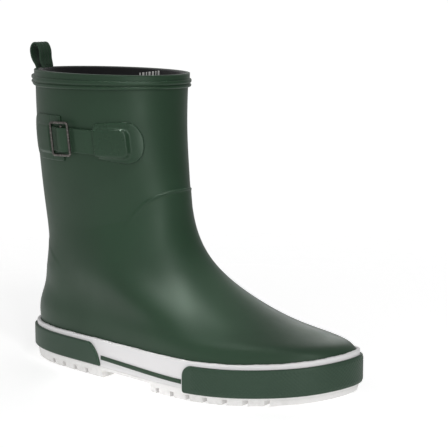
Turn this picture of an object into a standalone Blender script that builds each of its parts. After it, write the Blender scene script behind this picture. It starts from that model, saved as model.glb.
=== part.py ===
"""Short rubber rain boot for the right foot, as separate pieces.

Metres, +Z up. +X points to the toe, -Y is the lateral side with the strap, and the
origin is under the middle of the sole on the ground. Run it in Blender 4.5.
"""
import math

import bmesh
import bpy
import numpy as np
from mathutils import Matrix, Vector

MM = 0.001
GAP = 0.3 * MM                      # clearance between pieces that touch

# Sole plan: half-breadths at fractions of the length, measured from the X axis.
LENGTH = 290 * MM
CENTRE_Y = 4 * MM                   # centre line of heel and shaft
TOE_TIP_Y = 12 * MM
LATERAL = [(0.93, -24), (0.82, -40.5), (0.67, -53.5), (0.5, -49.5), (0.3, -39), (0.13, -29.5)]
MEDIAL = [(0.13, 36.5), (0.30, 39), (0.47, 40), (0.64, 48), (0.78, 50.5), (0.92, 40)]
AROUND = 40                         # segments round every shell

# Heights above the ground.
TREAD_DEPTH = 4.5 * MM
WAIST_HEIGHT = 6.5 * MM             # underside of the outsole between heel and forefoot
OUTSOLE_EDGE = 9.2 * MM
FOXING_TOP = 30.3 * MM
TOE_SPRING = 7.5 * MM
SPRING_START = 0.72                 # fraction of the length where the toe starts to lift
BOARD_BASE = 12.2 * MM
HEEL_RISE = 8 * MM

# Layers, measured inward from the outer face of the foxing or of the upper.
FOXING_THICK = 2.7 * MM
BAND_THICK = 1.7 * MM
UPPER_INSET = FOXING_THICK + GAP
UPPER_THICK = 2.4 * MM
PATCH_THICK = 1.2 * MM              # puff, counter and vamp reinforcement
LINING_THICK = 1.3 * MM
LAYER_LOW = UPPER_THICK + PATCH_THICK + 2 * GAP
LAYER_HIGH = UPPER_THICK + GAP

# Upper stations from the foxing to the rim, in millimetres:
# (share of the way up, front x, front z, back x, back z, roundness, outline scale, half-width)
STATIONS = [
    (0.00, 142.0, 38.5, -142.0, 30.3, 0.00, 1.00, 45.0),
    (0.12, 130.7, 43.4, -142.0, 45.0, 0.04, 0.98, 45.0),
    (0.24, 89.1, 51.6, -136.5, 60.0, 0.23, 0.92, 43.5),
    (0.36, 21.0, 84.3, -132.0, 76.0, 0.28, 0.89, 40.0),
    (0.48, 1.5, 127.0, -129.5, 96.0, 0.95, 0.85, 38.5),
    (0.62, -1.8, 151.0, -132.0, 126.0, 1.00, 0.85, 40.5),
    (0.80, -5.7, 189.5, -135.5, 180.0, 1.00, 0.85, 46.0),
    (1.00, -5.0, 232.0, -136.0, 234.0, 1.00, 0.85, 48.5),
]
COLLAR_LOW = 0.935                  # share of the way up at the lower edge of the collar
UPPER_TOP = 0.9945
LEVELS = [0, 0.06, 0.12, 0.19, 0.27, 0.36, 0.44, 0.52, 0.60, 0.70, 0.80, 0.88, COLLAR_LOW, UPPER_TOP]
SHAFT_LEVEL = 9                     # index in LEVELS where the lining closes up to the upper

# Strap and buckle on the lateral side of the shaft.
BAND_FACE = 1.0 * MM                # outer face of the collar band, from the shaft
EDGE_DEPTH = 1.7 * MM               # how far the rim's edge strip reaches inward
STRAP_Z = 182.5 * MM
BUCKLE_Z = 183.5 * MM
STRAP_WIDTH = 18.5 * MM
STRAP_THICK = 1.6 * MM
BUCKLE_ANGLE = 99.0                 # degrees round the shaft from the front
BUCKLE_WIDTH = 18.5 * MM            # between the centres of the two side bars
BUCKLE_HEIGHT = 25 * MM
WIRE = 1.9 * MM
BAR_STANDOFF = 2.2 * MM             # centre bar axis from the shaft surface
FRAME_STANDOFF = 4.0 * MM           # axis of the frame wire from the shaft surface

# Pull loop at the back of the rim.
LOOP_Y = CENTRE_Y - 5 * MM
LOOP_WIDTH = 14 * MM
LOOP_THICK = 1.5 * MM
LOOP_HEIGHT = 22 * MM
LOOP_LEAN = math.radians(14)


# ---------------------------------------------------------------- numbers and curves

def smooth(low, high, value):
    """Smoothly rising share of the way from low to high."""
    share = np.clip((value - low) / (high - low), 0.0, 1.0)
    return share * share * (3.0 - 2.0 * share)


def spline(knots, values, at, period=None):
    """Cubic spline through the knots: natural ends, or periodic when a period is given."""
    knots = np.array(knots, float)
    values = np.array(values, float)
    if period:
        count = len(knots)
        turns = [-period, 0.0, period]
        knots = np.concatenate([knots + turn for turn in turns])
        values = np.tile(values, 3)
        at = np.mod(at - knots[count], period) + knots[count]
    steps = np.diff(knots)
    size = len(knots)
    system = np.eye(size)
    right = np.zeros(size)
    for i in range(1, size - 1):
        system[i, i - 1:i + 2] = [steps[i - 1], 2 * (steps[i - 1] + steps[i]), steps[i]]
        right[i] = 6 * ((values[i + 1] - values[i]) / steps[i] - (values[i] - values[i - 1]) / steps[i - 1])
    bend = np.linalg.solve(system, right)
    i = np.clip(np.searchsorted(knots, at, side="right") - 1, 0, size - 2)
    step = steps[i]
    a = (knots[i + 1] - at) / step
    b = 1 - a
    curve = ((a**3 - a) * bend[i] + (b**3 - b) * bend[i + 1]) * step**2 / 6
    return a * values[i] + b * values[i + 1] + curve


def outline(angles, outward=0.0):
    """Sole outline at the given angles (0 at the toe, pi at the heel), moved outward."""
    knots = [0.0]
    values = [TOE_TIP_Y]
    for share, breadth in LATERAL:
        knots.append(math.acos(2 * share - 1))
        values.append(breadth * MM)
    knots.append(math.pi)
    values.append(CENTRE_Y)
    for share, breadth in MEDIAL:
        knots.append(2 * math.pi - math.acos(2 * share - 1))
        values.append(breadth * MM)
    fine = 1e-3
    points = []
    for shift in (0.0, -fine, fine):
        turned = angles + shift
        points.append((LENGTH / 2 * np.cos(turned), spline(knots, values, turned, 2 * math.pi)))
    (x, y), (xa, ya), (xb, yb) = points
    run = np.hypot(xb - xa, yb - ya)
    return np.stack([x + outward * (yb - ya) / -run, y + outward * (xb - xa) / run], axis=1)


def spring(x):
    """Lift of the sole towards the toe."""
    share = (x / LENGTH + 0.5 - SPRING_START) / (1 - SPRING_START)
    return TOE_SPRING * np.clip(share, 0.0, 1.0)**2


def foxing_top(x):
    return FOXING_TOP + 0.7 * MM * smooth(0.15, 0.5, x / LENGTH) + spring(x)


def board_bottom(x):
    """Underside of the insole board, higher under the heel."""
    return BOARD_BASE + HEEL_RISE * (1 - smooth(-0.3, -0.04, x / LENGTH)) + spring(x)


def round_angles(count=AROUND):
    return np.arange(count) * 2 * math.pi / count


# ---------------------------------------------------------------- the surface of the upper

def upper_row(level, angles):
    """One closed section of the upper's outer face, at a share of the way up."""
    keys = [station[0] for station in STATIONS]
    at = np.array([level])
    values = [float(spline(keys, [station[i] for station in STATIONS], at)[0]) for i in range(1, 8)]
    front_x, front_z, back_x, back_z, roundness, scale, half = values
    roundness = min(max(roundness, 0.0), 1.0)
    foot = outline(angles, -UPPER_INSET)
    reach = LENGTH / 2 - UPPER_INSET
    share = np.clip((foot[:, 0] + reach) / (2 * reach), 0.0, 1.0)
    share = share * (1 - roundness) + (1 + np.cos(angles)) / 2 * roundness
    x = (back_x + (front_x - back_x) * share) * MM
    foot_y = CENTRE_Y + scale * (foot[:, 1] - CENTRE_Y)
    oval_y = CENTRE_Y - half * MM * np.sin(angles)
    y = foot_y * (1 - roundness) + oval_y * roundness
    line = (back_z + (front_z - back_z) * share) * MM
    first = STATIONS[0]
    ground = foxing_top(foot[:, 0]) - (first[4] + (first[2] - first[4]) * share) * MM
    fade = max(0.0, 1 - level / 0.25)**2
    return np.stack([x, y, line + ground * fade], axis=1)


def upper_grid(angles, levels):
    """Rows from the bottom of the side wall up to the rim."""
    base = upper_row(0.0, angles)
    wall = []
    for heights in (OUTSOLE_EDGE + GAP + spring(base[:, 0]), board_bottom(base[:, 0]) + 2.3 * MM):
        row = base.copy()
        row[:, 2] = heights
        wall.append(row)
    return np.array(wall + [upper_row(level, angles) for level in levels])


def grid_normals(grid):
    around = np.roll(grid, -1, axis=1) - np.roll(grid, 1, axis=1)
    up = np.gradient(grid, axis=0)
    normals = np.cross(up, around)
    return normals / np.linalg.norm(normals, axis=2, keepdims=True)


def shaft_point(angle, height, outward):
    """Point on the shaft at an angle from the front, moved outward along the normal."""
    low, high = 0.62, 1.0
    at = np.array([angle - 0.01, angle, angle + 0.01])
    for _ in range(30):
        middle = (low + high) / 2
        if upper_row(middle, at)[1, 2] < height:
            low = middle
        else:
            high = middle
    row = upper_row(low, at)
    above = upper_row(low + 0.01, at)
    normal = np.cross(above[1] - row[1], row[2] - row[0])
    return row[1] + normal / np.linalg.norm(normal) * outward


# ---------------------------------------------------------------- Blender helpers

def clear_scene():
    for item in list(bpy.data.objects):
        bpy.data.objects.remove(item, do_unlink=True)
    for name in ("rain_boot", "cutters"):
        old = bpy.data.collections.get(name)
        if old:
            bpy.data.collections.remove(old)
        bpy.context.scene.collection.children.link(bpy.data.collections.new(name))


def material(name, colour, roughness, metallic=0.0):
    made = bpy.data.materials.new(name)
    made.use_nodes = True
    shader = made.node_tree.nodes["Principled BSDF"]
    shader.inputs["Base Color"].default_value = (*colour, 1.0)
    shader.inputs["Roughness"].default_value = roughness
    shader.inputs["Metallic"].default_value = metallic
    made.diffuse_color = (*colour, 1.0)
    return made


def add_object(name, data, look, collection="rain_boot"):
    item = bpy.data.objects.new(name, data)
    bpy.data.collections[collection].objects.link(item)
    if look:
        item.data.materials.append(look)
    return item


def mesh_object(name, points, faces, look, collection="rain_boot"):
    mesh = bpy.data.meshes.new(name)
    mesh.from_pydata([tuple(point) for point in points], [], faces)
    tidy = bmesh.new()
    tidy.from_mesh(mesh)
    bmesh.ops.recalc_face_normals(tidy, faces=tidy.faces)
    tidy.to_mesh(mesh)
    tidy.free()
    return add_object(name, mesh, look, collection)


def loft(name, sections, look, closed_path):
    """Solid swept through closed sections of equal size, capped when the path is open."""
    sections = np.array(sections)
    count, size = sections.shape[:2]
    faces = []
    for i in range(count if closed_path else count - 1):
        for j in range(size):
            a, b = i * size, (i + 1) % count * size
            k = (j + 1) % size
            faces.append((a + j, a + k, b + k, b + j))
    if not closed_path:
        faces.append(tuple(range(size)))
        faces.append(tuple((count - 1) * size + j for j in range(size)))
    return mesh_object(name, sections.reshape(-1, 3), faces, look)


def panel(name, outer, inner, look, closed=False):
    """Closed shell between two grids of the same size, joined along their edges.

    Both faces are split along the same diagonals, so layers at an even distance stay apart.
    """
    rows, columns = outer.shape[:2]
    inside = rows * columns
    wrap = columns if closed else columns - 1
    faces = []
    for j in range(rows - 1):
        for i in range(wrap):
            k = (i + 1) % columns
            a, b = j * columns + i, j * columns + k
            c, d = b + columns, a + columns
            for triangle in ((a, b, c), (a, c, d)):
                faces.append(triangle)
                faces.append(tuple(inside + v for v in reversed(triangle)))
    for j in (0, rows - 1):
        for i in range(wrap):
            a, b = j * columns + i, j * columns + (i + 1) % columns
            faces.append((a, b, inside + b, inside + a))
    if not closed:
        for i in (0, columns - 1):
            for j in range(rows - 1):
                a, b = j * columns + i, (j + 1) * columns + i
                faces.append((a, b, inside + b, inside + a))
    points = np.concatenate([outer.reshape(-1, 3), inner.reshape(-1, 3)])
    return mesh_object(name, points, faces, look)


def set_origin(item, point):
    item.data.transform(Matrix.Translation(-Vector(point)))
    item.location = point


def tube(name, points, radius, look, cyclic, sides=1):
    """Round tube along a path, turned into a mesh with welded caps."""
    curve = bpy.data.curves.new(name, "CURVE")
    curve.dimensions = "3D"
    curve.bevel_depth = radius
    curve.bevel_resolution = sides
    curve.use_fill_caps = not cyclic
    path = curve.splines.new("POLY")
    path.points.add(len(points) - 1)
    for knot, point in zip(path.points, points):
        knot.co = (*point, 1.0)
    path.use_cyclic_u = cyclic
    source = add_object(name + "_path", curve, None)
    shape = source.evaluated_get(bpy.context.evaluated_depsgraph_get())
    mesh = bpy.data.meshes.new_from_object(shape)
    bpy.data.objects.remove(source, do_unlink=True)
    weld = bmesh.new()
    weld.from_mesh(mesh)
    bmesh.ops.remove_doubles(weld, verts=weld.verts, dist=1e-6)
    bmesh.ops.recalc_face_normals(weld, faces=weld.faces)
    weld.to_mesh(mesh)
    weld.free()
    mesh.materials.clear()
    return add_object(name, mesh, look)


def box_cutter(name, boxes):
    """One mesh of separate boxes, each given as centre, size and turn about Z."""
    mesh = bpy.data.meshes.new(name)
    build = bmesh.new()
    for centre, size, turn in boxes:
        place = Matrix.Translation(centre) @ Matrix.Rotation(turn, 4, "Z") @ Matrix.Diagonal((*size, 1.0))
        bmesh.ops.create_cube(build, size=1.0, matrix=place)
    build.to_mesh(mesh)
    build.free()
    item = add_object(name, mesh, None, "cutters")
    item.hide_render = True
    item.display_type = "WIRE"
    return item


def cut(item, cutter):
    modifier = item.modifiers.new("cut", "BOOLEAN")
    modifier.object = cutter
    modifier.operation = "DIFFERENCE"
    modifier.solver = "EXACT"


# ---------------------------------------------------------------- the sole

def slab(name, outward, bottom, top, look, low=-1.0, high=1.0):
    """Flat layer inside the outline between two height functions of x."""
    half = np.linspace(0, math.pi, AROUND // 2 + 1)
    half = half[(np.cos(half) <= high) & (np.cos(half) >= low)]
    first = outline(half, outward)
    second = outline(2 * math.pi - half, outward)
    stations = []
    for a, b in zip(first, second):
        if math.dist(a, b) < 1e-4:
            a = a + np.array([0.0, -0.4 * MM])
            b = b + np.array([0.0, 0.4 * MM])
        stations.append([(*a, bottom(a[0])), (*b, bottom(b[0])), (*b, top(b[0])), (*a, top(a[0]))])
    return loft(name, stations, look, False)


def make_outsole(look):
    sole = slab("outsole", 0.0, spring, lambda x: OUTSOLE_EDGE + spring(x), look)
    boxes = [((-21 * MM, 0, 0), (54 * MM, 140 * MM, 2 * WAIST_HEIGHT), 0.0)]
    for i in range(4):
        x = (-106.5 + 13.4 * i) * MM
        boxes.append(((x, 0, 0), (3.2 * MM, 140 * MM, 2 * TREAD_DEPTH), 0.0))
    for i in range(8):
        x = (13 + 14.6 * i) * MM
        boxes.append(((x, 0, float(spring(x))), (3.6 * MM, 140 * MM, 2 * TREAD_DEPTH), 0.0))
    cutter = box_cutter("tread_grooves", boxes)
    cut(sole, cutter)
    return sole


def make_foxing(look):
    angles = round_angles()
    outer = outline(angles, 0.0)
    inner = outline(angles, -FOXING_THICK)
    sections = []
    for a, b in zip(outer, inner):
        low = OUTSOLE_EDGE + GAP + spring(a[0])
        high = foxing_top(a[0])
        edge = a + (b - a) * 0.35
        sections.append([(*a, low), (*a, high - 0.9 * MM), (*edge, high), (*b, high), (*b, low)])
    return loft("foxing", sections, look, True)


def make_band(name, start, end, look, low, high, steps, thick=BAND_THICK, tilt=0.0):
    """Strip on the foxing between two angles, with rounded upper corners."""
    angles = np.radians(np.linspace(start, end, steps))
    inner = outline(angles, GAP)
    outer = outline(angles, GAP + thick)
    sections = []
    for i, (a, b) in enumerate(zip(inner, outer)):
        rise = spring(a[0]) + tilt * a[0]
        drop = (2.2 if i in (0, steps - 1) else 0.0) * MM * (high - low) / (18 * MM)
        bottom, top = low + rise + drop / 2, high + rise - drop
        sections.append([(*a, bottom), (*b, bottom), (*b, top), (*a, top)])
    return loft(name, sections, look, False)


def make_sole(looks):
    make_outsole(looks["white"])
    make_foxing(looks["foxing"])
    make_band("toe_band", -73.5, 73.5, looks["toe_band"], 6.5 * MM, 27.2 * MM, 21)
    make_band("heel_band", 110.5, 249.5, looks["heel_band"], 9.8 * MM, 27.2 * MM, 17)
    make_band("stripe_lateral", 75.5, 108.7, looks["stripe"], 13.6 * MM, 17.0 * MM, 7, 0.8 * MM, -0.028)
    make_band("stripe_medial", 251.3, 284.5, looks["stripe"], 13.6 * MM, 17.0 * MM, 7, 0.8 * MM, -0.028)
    bed = OUTSOLE_EDGE + GAP
    inset = -(UPPER_INSET + UPPER_THICK + GAP)
    filler = slab("sole_filler", inset, lambda x: bed + spring(x),
                  lambda x: BOARD_BASE - GAP + spring(x), looks["filler"])
    middle = (-8 * MM, CENTRE_Y - 2 * MM, 13 * MM)
    pocket = box_cutter("shank_pocket", [(middle, (101 * MM, 13 * MM, 6 * MM), 0.0)])
    cut(filler, pocket)
    slab("heel_filler", inset, lambda x: BOARD_BASE, lambda x: board_bottom(x) - GAP,
         looks["heel_filler"], -1.0, -0.18)
    slab("insole_board", inset, board_bottom, lambda x: board_bottom(x) + 2 * MM, looks["board"])
    rest = 2 * MM + GAP
    slab("insole", -(UPPER_INSET + LAYER_LOW + LINING_THICK + GAP), lambda x: board_bottom(x) + rest,
         lambda x: board_bottom(x) + rest + 4 * MM, looks["insole"])
    make_shank(looks["shank"])


def make_shank(look):
    """Flat steel strip with round ends, let into the filler."""
    curve = bpy.data.curves.new("shank", "CURVE")
    curve.dimensions = "2D"
    curve.fill_mode = "BOTH"
    curve.extrude = 0.6 * MM
    path = curve.splines.new("POLY")
    half, radius = 44 * MM, 6 * MM
    points = []
    for centre, turn in ((half, -90), (-half, 90)):
        for step in range(7):
            angle = math.radians(turn + 30 * step)
            points.append((centre + radius * math.cos(angle), radius * math.sin(angle)))
    path.points.add(len(points) - 1)
    for knot, point in zip(path.points, points):
        knot.co = (*point, 0.0, 1.0)
    path.use_cyclic_u = True
    source = add_object("shank_path", curve, None)
    mesh = bpy.data.meshes.new_from_object(source.evaluated_get(bpy.context.evaluated_depsgraph_get()))
    bpy.data.objects.remove(source, do_unlink=True)
    weld = bmesh.new()
    weld.from_mesh(mesh)
    bmesh.ops.remove_doubles(weld, verts=weld.verts, dist=1e-6)
    bmesh.ops.recalc_face_normals(weld, faces=weld.faces)
    weld.to_mesh(mesh)
    weld.free()
    mesh.materials.clear()
    item = add_object("shank", mesh, look)
    item.location = (-8 * MM, CENTRE_Y - 2 * MM, 10.9 * MM)


# ---------------------------------------------------------------- the upper and its layers

def make_upper(looks):
    angles = round_angles()
    grid = upper_grid(angles, LEVELS)
    normals = grid_normals(grid)
    depth = np.full(len(grid), LAYER_LOW)
    depth[2 + SHAFT_LEVEL:] = LAYER_HIGH
    depth = depth[:, None, None]
    panel("upper_shell", grid, grid - normals * UPPER_THICK, looks["upper"], True)
    panel("lining", (grid - normals * depth)[1:], (grid - normals * (depth + LINING_THICK))[1:],
          looks["lining"], True)
    near = UPPER_THICK + GAP
    far = near + PATCH_THICK
    layers = (("toe_puff", range(-6, 7), range(2, 6), "puff"),
              ("vamp_reinforcement", range(-7, 8), range(7, 10), "reinforcement"),
              ("heel_counter", range(14, 27), range(2, 8), "counter"))
    for name, columns, rows, look in layers:
        pick = np.ix_([row for row in rows], [column % AROUND for column in columns])
        panel(name, (grid - normals * near)[pick], (grid - normals * far)[pick], looks[look])


def rim_rows(drops, angles):
    """Rows of the upper at distances below the rim."""
    per_metre = 1 / (240 * MM)
    return np.array([upper_row(1 - drop * MM * per_metre, angles) for drop in drops])


def rim_normals(rows):
    normals = grid_normals(rows)
    normals[:, :, 2] = 0.0
    return normals / np.linalg.norm(normals, axis=2, keepdims=True)


def loop_bulge(rows):
    """Extra stand-off where the trim passes over the end of the pull loop."""
    near = smooth(18 * MM, 12.6 * MM, np.abs(rows[:, :, 1] - LOOP_Y))
    return near * (rows[:, :, 0] < -100 * MM)


def make_collar(looks):
    angles = round_angles(56)
    band = rim_rows((12, 6.6, 1.3), angles)
    out = rim_normals(band)
    panel("collar_band", band + out * BAND_FACE, band + out * GAP, looks["collar"], True)
    trim = rim_rows((12.4, 11.9, 11, 10.1, 9.4, 8.7, 7.1, 5.5, 4.9), angles)
    out = rim_normals(trim)
    proud = np.array([0.1, 0.8, 1.1, 0.8, 0.1, 0.8, 1.2, 0.8, 0.1])[:, None] * MM
    lift = BAND_FACE + GAP + loop_bulge(trim) * (LOOP_THICK + 2 * GAP)
    panel("collar_trim", trim + out * (lift + 0.4 * MM + proud)[:, :, None],
          trim + out * lift[:, :, None], looks["trim"], True)
    facing = rim_rows((34, 18, 1, 1, 0.1), angles)
    inner = rim_rows((34, 18, 2, 1, 0.1), angles)
    out = rim_normals(inner)
    near = LAYER_HIGH + LINING_THICK + 1.1 * MM
    depths = np.array([near, near, near, EDGE_DEPTH + GAP, EDGE_DEPTH + GAP])[:, None, None]
    panel("lining_collar", facing - out * depths, inner - out * (near + 0.7 * MM), looks["facing"], True)
    edge = rim_rows((1, 0.4, 0), angles)
    out = rim_normals(edge)
    faces = np.array([[BAND_FACE, EDGE_DEPTH]] * 2 + [[BAND_FACE - 0.3 * MM, EDGE_DEPTH - 0.3 * MM]])
    panel("collar_bead", edge + out * faces[:, :1, None], edge - out * faces[:, 1:, None],
          looks["bead"], True)


def strap_face(angles, heights, lifts):
    grid = [[shaft_point(math.radians(a), z, lift) for a, lift in zip(angles, row)]
            for z, row in zip(heights, lifts)]
    return np.array(grid)


def strap_lift(angle):
    """Stand-off of the strap's underside: over the centre bar and under both side bars."""
    crown = BAR_STANDOFF + WIRE / 2 + GAP
    knots = [50, 73, 80.5, 87.5, 90, 93, 96, 97.5, 99, 100.5, 102, 105, 108, 109.5, 128]
    lifts = [0.3, 0.3, 1.1, 0.9, 0.4, 0.9, 2.7, 3.3, 3.4, 3.3, 2.7, 0.9, 0.4, 0.3, 0.3]
    return float(np.interp(angle, knots, lifts)) * crown / 3.45


def make_strap(look):
    angles = [50.5, 56, 62, 68, 73, 76.5, 80.5, 85.5, 87.5, 90, 93, 96, 97.5, 99, 100.5, 102,
              105, 108, 109.5, 113.5, 119, 128]
    half = STRAP_WIDTH / 2
    heights = [STRAP_Z - half, STRAP_Z, STRAP_Z + half]
    low = [[max(GAP, strap_lift(a)) for a in angles] for _ in heights]
    high = [[value + STRAP_THICK for value in row] for row in low]
    panel("side_strap", strap_face(angles, heights, high), strap_face(angles, heights, low), look)


def patch(name, angles, half_heights, centre, bump, look):
    """Thin rubber patch on the shaft, raised where the strap runs beneath it."""
    raised = STRAP_WIDTH / 2 + 1.2 * MM
    outer, inner = [], []
    for angle, half in zip(angles, half_heights):
        edge = min(raised, half * 0.7)
        foot = min(raised + 2.6 * MM, half * 0.88)
        column_out, column_in = [], []
        for height in (-half, -foot, -edge, 0.0, edge, foot, half):
            lift = GAP + (bump(angle) if abs(height) <= edge else 0.0)
            at = math.radians(angle)
            column_out.append(shaft_point(at, centre + height, lift + 1.1 * MM))
            column_in.append(shaft_point(at, centre + height, lift))
        outer.append(column_out)
        inner.append(column_in)
    return panel(name, np.array(outer), np.array(inner), look)


def make_patches(looks):
    over_strap = STRAP_THICK + 2 * GAP
    angles = [36.5, 37.5, 40, 44, 48, 49.4, 55, 61, 67, 73.5]
    halves = [5.5, 9, 12.2, 14.6, 15.6, 15.8, 16, 16, 15.6, 15.2]
    patch("front_strap_patch", angles, [h * MM for h in halves], STRAP_Z - 1.3 * MM,
          lambda a: over_strap if a > 49 else 0.0, looks["front_patch"])
    angles = [100.5, 106, 111, 114.5, 121.5, 129.2, 131.4, 135, 138.5, 140.5, 141.2]
    halves = [17.4, 17.5, 17.5, 17.5, 17.5, 17.2, 17, 15.4, 12.4, 8.6, 5.5]
    rear = patch("rear_strap_patch", angles, [h * MM for h in halves], STRAP_Z + 0.6 * MM,
                 lambda a: over_strap if 110.5 < a < 130 else 0.0, looks["rear_patch"])
    height = (STRAP_Z + BUCKLE_Z) / 2
    front = shaft_point(math.radians(99), height, 0)
    back = shaft_point(math.radians(110.8), height, 0)
    middle = ((front[0] + back[0]) / 2, (front[1] + back[1]) / 2, height)
    size = (front[0] - back[0], 16 * MM, STRAP_WIDTH + 5.4 * MM)
    cut(rear, box_cutter("strap_slot", [(middle, size, 0.0)]))


def buckle_frame_axes():
    """Pivot on the centre bar, and the directions along the bar, along the strap and outward."""
    angle = math.radians(BUCKLE_ANGLE)
    pivot = Vector(shaft_point(angle, BUCKLE_Z, BAR_STANDOFF))
    low = Vector(shaft_point(angle, BUCKLE_Z - 10 * MM, BAR_STANDOFF))
    high = Vector(shaft_point(angle, BUCKLE_Z + 10 * MM, BAR_STANDOFF))
    up = (high - low).normalized()
    ahead = Vector(shaft_point(angle - 0.02, BUCKLE_Z, BAR_STANDOFF))
    out = (ahead - pivot).cross(up).normalized()
    along = up.cross(out)
    return pivot, up, along, out


def make_buckle(looks):
    """Wire frame round the strap with a centre bar behind it."""
    pivot, up, along, out = buckle_frame_axes()
    half, tall, corner = BUCKLE_WIDTH / 2, BUCKLE_HEIGHT / 2, 2 * MM
    lift = FRAME_STANDOFF - BAR_STANDOFF
    path = []
    for sx, sz, start in ((1, 1, 0), (-1, 1, 90), (-1, -1, 180), (1, -1, 270)):
        for step in (0, 45, 90):
            a = math.radians(start + step)
            across = sx * (half - corner) + corner * math.cos(a)
            height = sz * (tall - corner) + corner * math.sin(a)
            path.append(pivot + along * across + out * lift + up * height)
    frame = tube("buckle_frame", path, WIRE / 2, looks["buckle"], True, 1)
    reach = tall - WIRE - GAP
    bar = tube("buckle_bar", [pivot - up * reach, pivot + up * reach], WIRE / 2 - 0.1 * MM,
               looks["bar"], False, 1)
    for item in (frame, bar):
        set_origin(item, pivot)


def make_loop(looks):
    """Teardrop loop above the rim and its fixed end on the back of the collar."""
    back = np.array([math.pi])
    rim = rim_rows((1.5,), back)[0][0]
    pivot = Vector((rim[0] + 1.3 * MM, LOOP_Y, rim[2]))
    steps = 20
    outer, inner = [], []
    for i in range(steps):
        turn = 2 * math.pi * i / steps
        rise = (1 - math.cos(turn)) / 2
        width = 1.5 * MM + 3.4 * MM * smooth(0.0, 0.75, rise)
        for ring, grow in ((outer, 0.0), (inner, -LOOP_THICK)):
            high = 2.4 * MM - grow + (LOOP_HEIGHT - 2.4 * MM + 2 * grow) * rise
            out = (width + grow * (0.35 + 0.65 * smooth(0.0, 0.3, rise))) * math.sin(turn)
            ring.append((out * 1.05, high))
    sections = []
    for y in (-LOOP_WIDTH / 2, LOOP_WIDTH / 2):
        sections.append(([(x, y, z) for x, z in outer], [(x, y, z) for x, z in inner]))
    lean = Matrix.Rotation(-LOOP_LEAN, 3, "Y")
    rings = []
    for i in range(steps):
        ring = [sections[0][0][i], sections[1][0][i], sections[1][1][i], sections[0][1][i]]
        rings.append([tuple(lean @ Vector(p) + pivot) for p in ring])
    loop = loft("pull_loop", rings, looks["loop"], True)
    set_origin(loop, pivot)
    make_loop_anchor(looks["anchor"])


def make_loop_anchor(look):
    """Fixed end of the loop, lying on the collar band and under the ribbed trim."""
    offsets = np.linspace(-0.5, 0.5, 5) * LOOP_WIDTH + LOOP_Y
    half = STATIONS[-1][7] * MM
    angles = math.pi - np.arcsin((CENTRE_Y - offsets) / half)
    rows = rim_rows((13.6, 8, 3), angles)
    around = np.gradient(rows, axis=1)
    out = np.cross(np.array([0.0, 0.0, 1.0]), around)
    out = out / np.linalg.norm(out, axis=2, keepdims=True)
    lift = BAND_FACE + GAP
    panel("pull_loop_anchor", rows + out * (lift + LOOP_THICK), rows + out * lift, look)


def main():
    clear_scene()
    green = (0.030, 0.055, 0.036)
    colours = {
        "upper": (green, 0.42), "collar": ((0.028, 0.052, 0.034), 0.45),
        "trim": ((0.032, 0.058, 0.038), 0.45),
        "bead": ((0.028, 0.050, 0.034), 0.45), "loop": ((0.024, 0.046, 0.030), 0.55),
        "anchor": ((0.024, 0.045, 0.030), 0.55), "strap": ((0.029, 0.054, 0.036), 0.45),
        "front_patch": ((0.031, 0.057, 0.037), 0.45), "rear_patch": ((0.030, 0.056, 0.037), 0.45),
        "toe_band": ((0.052, 0.085, 0.062), 0.6), "heel_band": ((0.050, 0.082, 0.060), 0.55),
        "stripe": ((0.048, 0.080, 0.058), 0.55), "white": ((0.78, 0.77, 0.76), 0.55),
        "foxing": ((0.80, 0.79, 0.78), 0.5), "filler": ((0.35, 0.34, 0.32), 0.8),
        "heel_filler": ((0.16, 0.15, 0.14), 0.8), "board": ((0.42, 0.30, 0.18), 0.85),
        "insole": ((0.02, 0.02, 0.022), 0.9), "lining": ((0.012, 0.012, 0.013), 0.9),
        "facing": ((0.015, 0.015, 0.016), 0.85), "puff": ((0.10, 0.10, 0.09), 0.7),
        "reinforcement": ((0.09, 0.10, 0.09), 0.7), "counter": ((0.11, 0.10, 0.09), 0.7),
    }
    looks = {name: material(name + "_finish", colour, rough) for name, (colour, rough) in colours.items()}
    looks["shank"] = material("shank_finish", (0.55, 0.55, 0.56), 0.35, 1.0)
    looks["buckle"] = material("buckle_finish", (0.055, 0.052, 0.048), 0.38, 1.0)
    looks["bar"] = material("bar_finish", (0.06, 0.056, 0.052), 0.4, 1.0)
    make_sole(looks)
    make_upper(looks)
    make_collar(looks)
    make_strap(looks["strap"])
    make_patches(looks)
    make_buckle(looks)
    make_loop(looks)


main()
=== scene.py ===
"""Short rubber rain boot, right foot: finished surfaces, materials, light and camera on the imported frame.

Metres. +X points to the toe, -Y is the outer side with the strap, +Z is up.
"""

import math

import bmesh
import bpy
import numpy as np
from mathutils import Matrix, Vector


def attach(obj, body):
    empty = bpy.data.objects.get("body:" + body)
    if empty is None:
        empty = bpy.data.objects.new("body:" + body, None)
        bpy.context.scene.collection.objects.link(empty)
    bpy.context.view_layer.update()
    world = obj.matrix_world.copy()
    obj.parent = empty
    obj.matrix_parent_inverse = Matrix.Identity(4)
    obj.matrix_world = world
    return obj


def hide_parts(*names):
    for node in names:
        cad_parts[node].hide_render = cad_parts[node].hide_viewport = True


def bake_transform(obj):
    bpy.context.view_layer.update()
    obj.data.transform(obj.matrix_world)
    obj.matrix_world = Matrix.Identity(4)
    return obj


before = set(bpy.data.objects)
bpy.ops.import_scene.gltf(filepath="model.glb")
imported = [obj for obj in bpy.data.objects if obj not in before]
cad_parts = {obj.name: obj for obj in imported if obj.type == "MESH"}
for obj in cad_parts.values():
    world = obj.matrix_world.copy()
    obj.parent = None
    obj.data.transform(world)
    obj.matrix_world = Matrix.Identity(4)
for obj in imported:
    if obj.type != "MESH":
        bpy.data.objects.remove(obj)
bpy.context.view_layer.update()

MM = 0.001
GAP = 0.3 * MM

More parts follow.
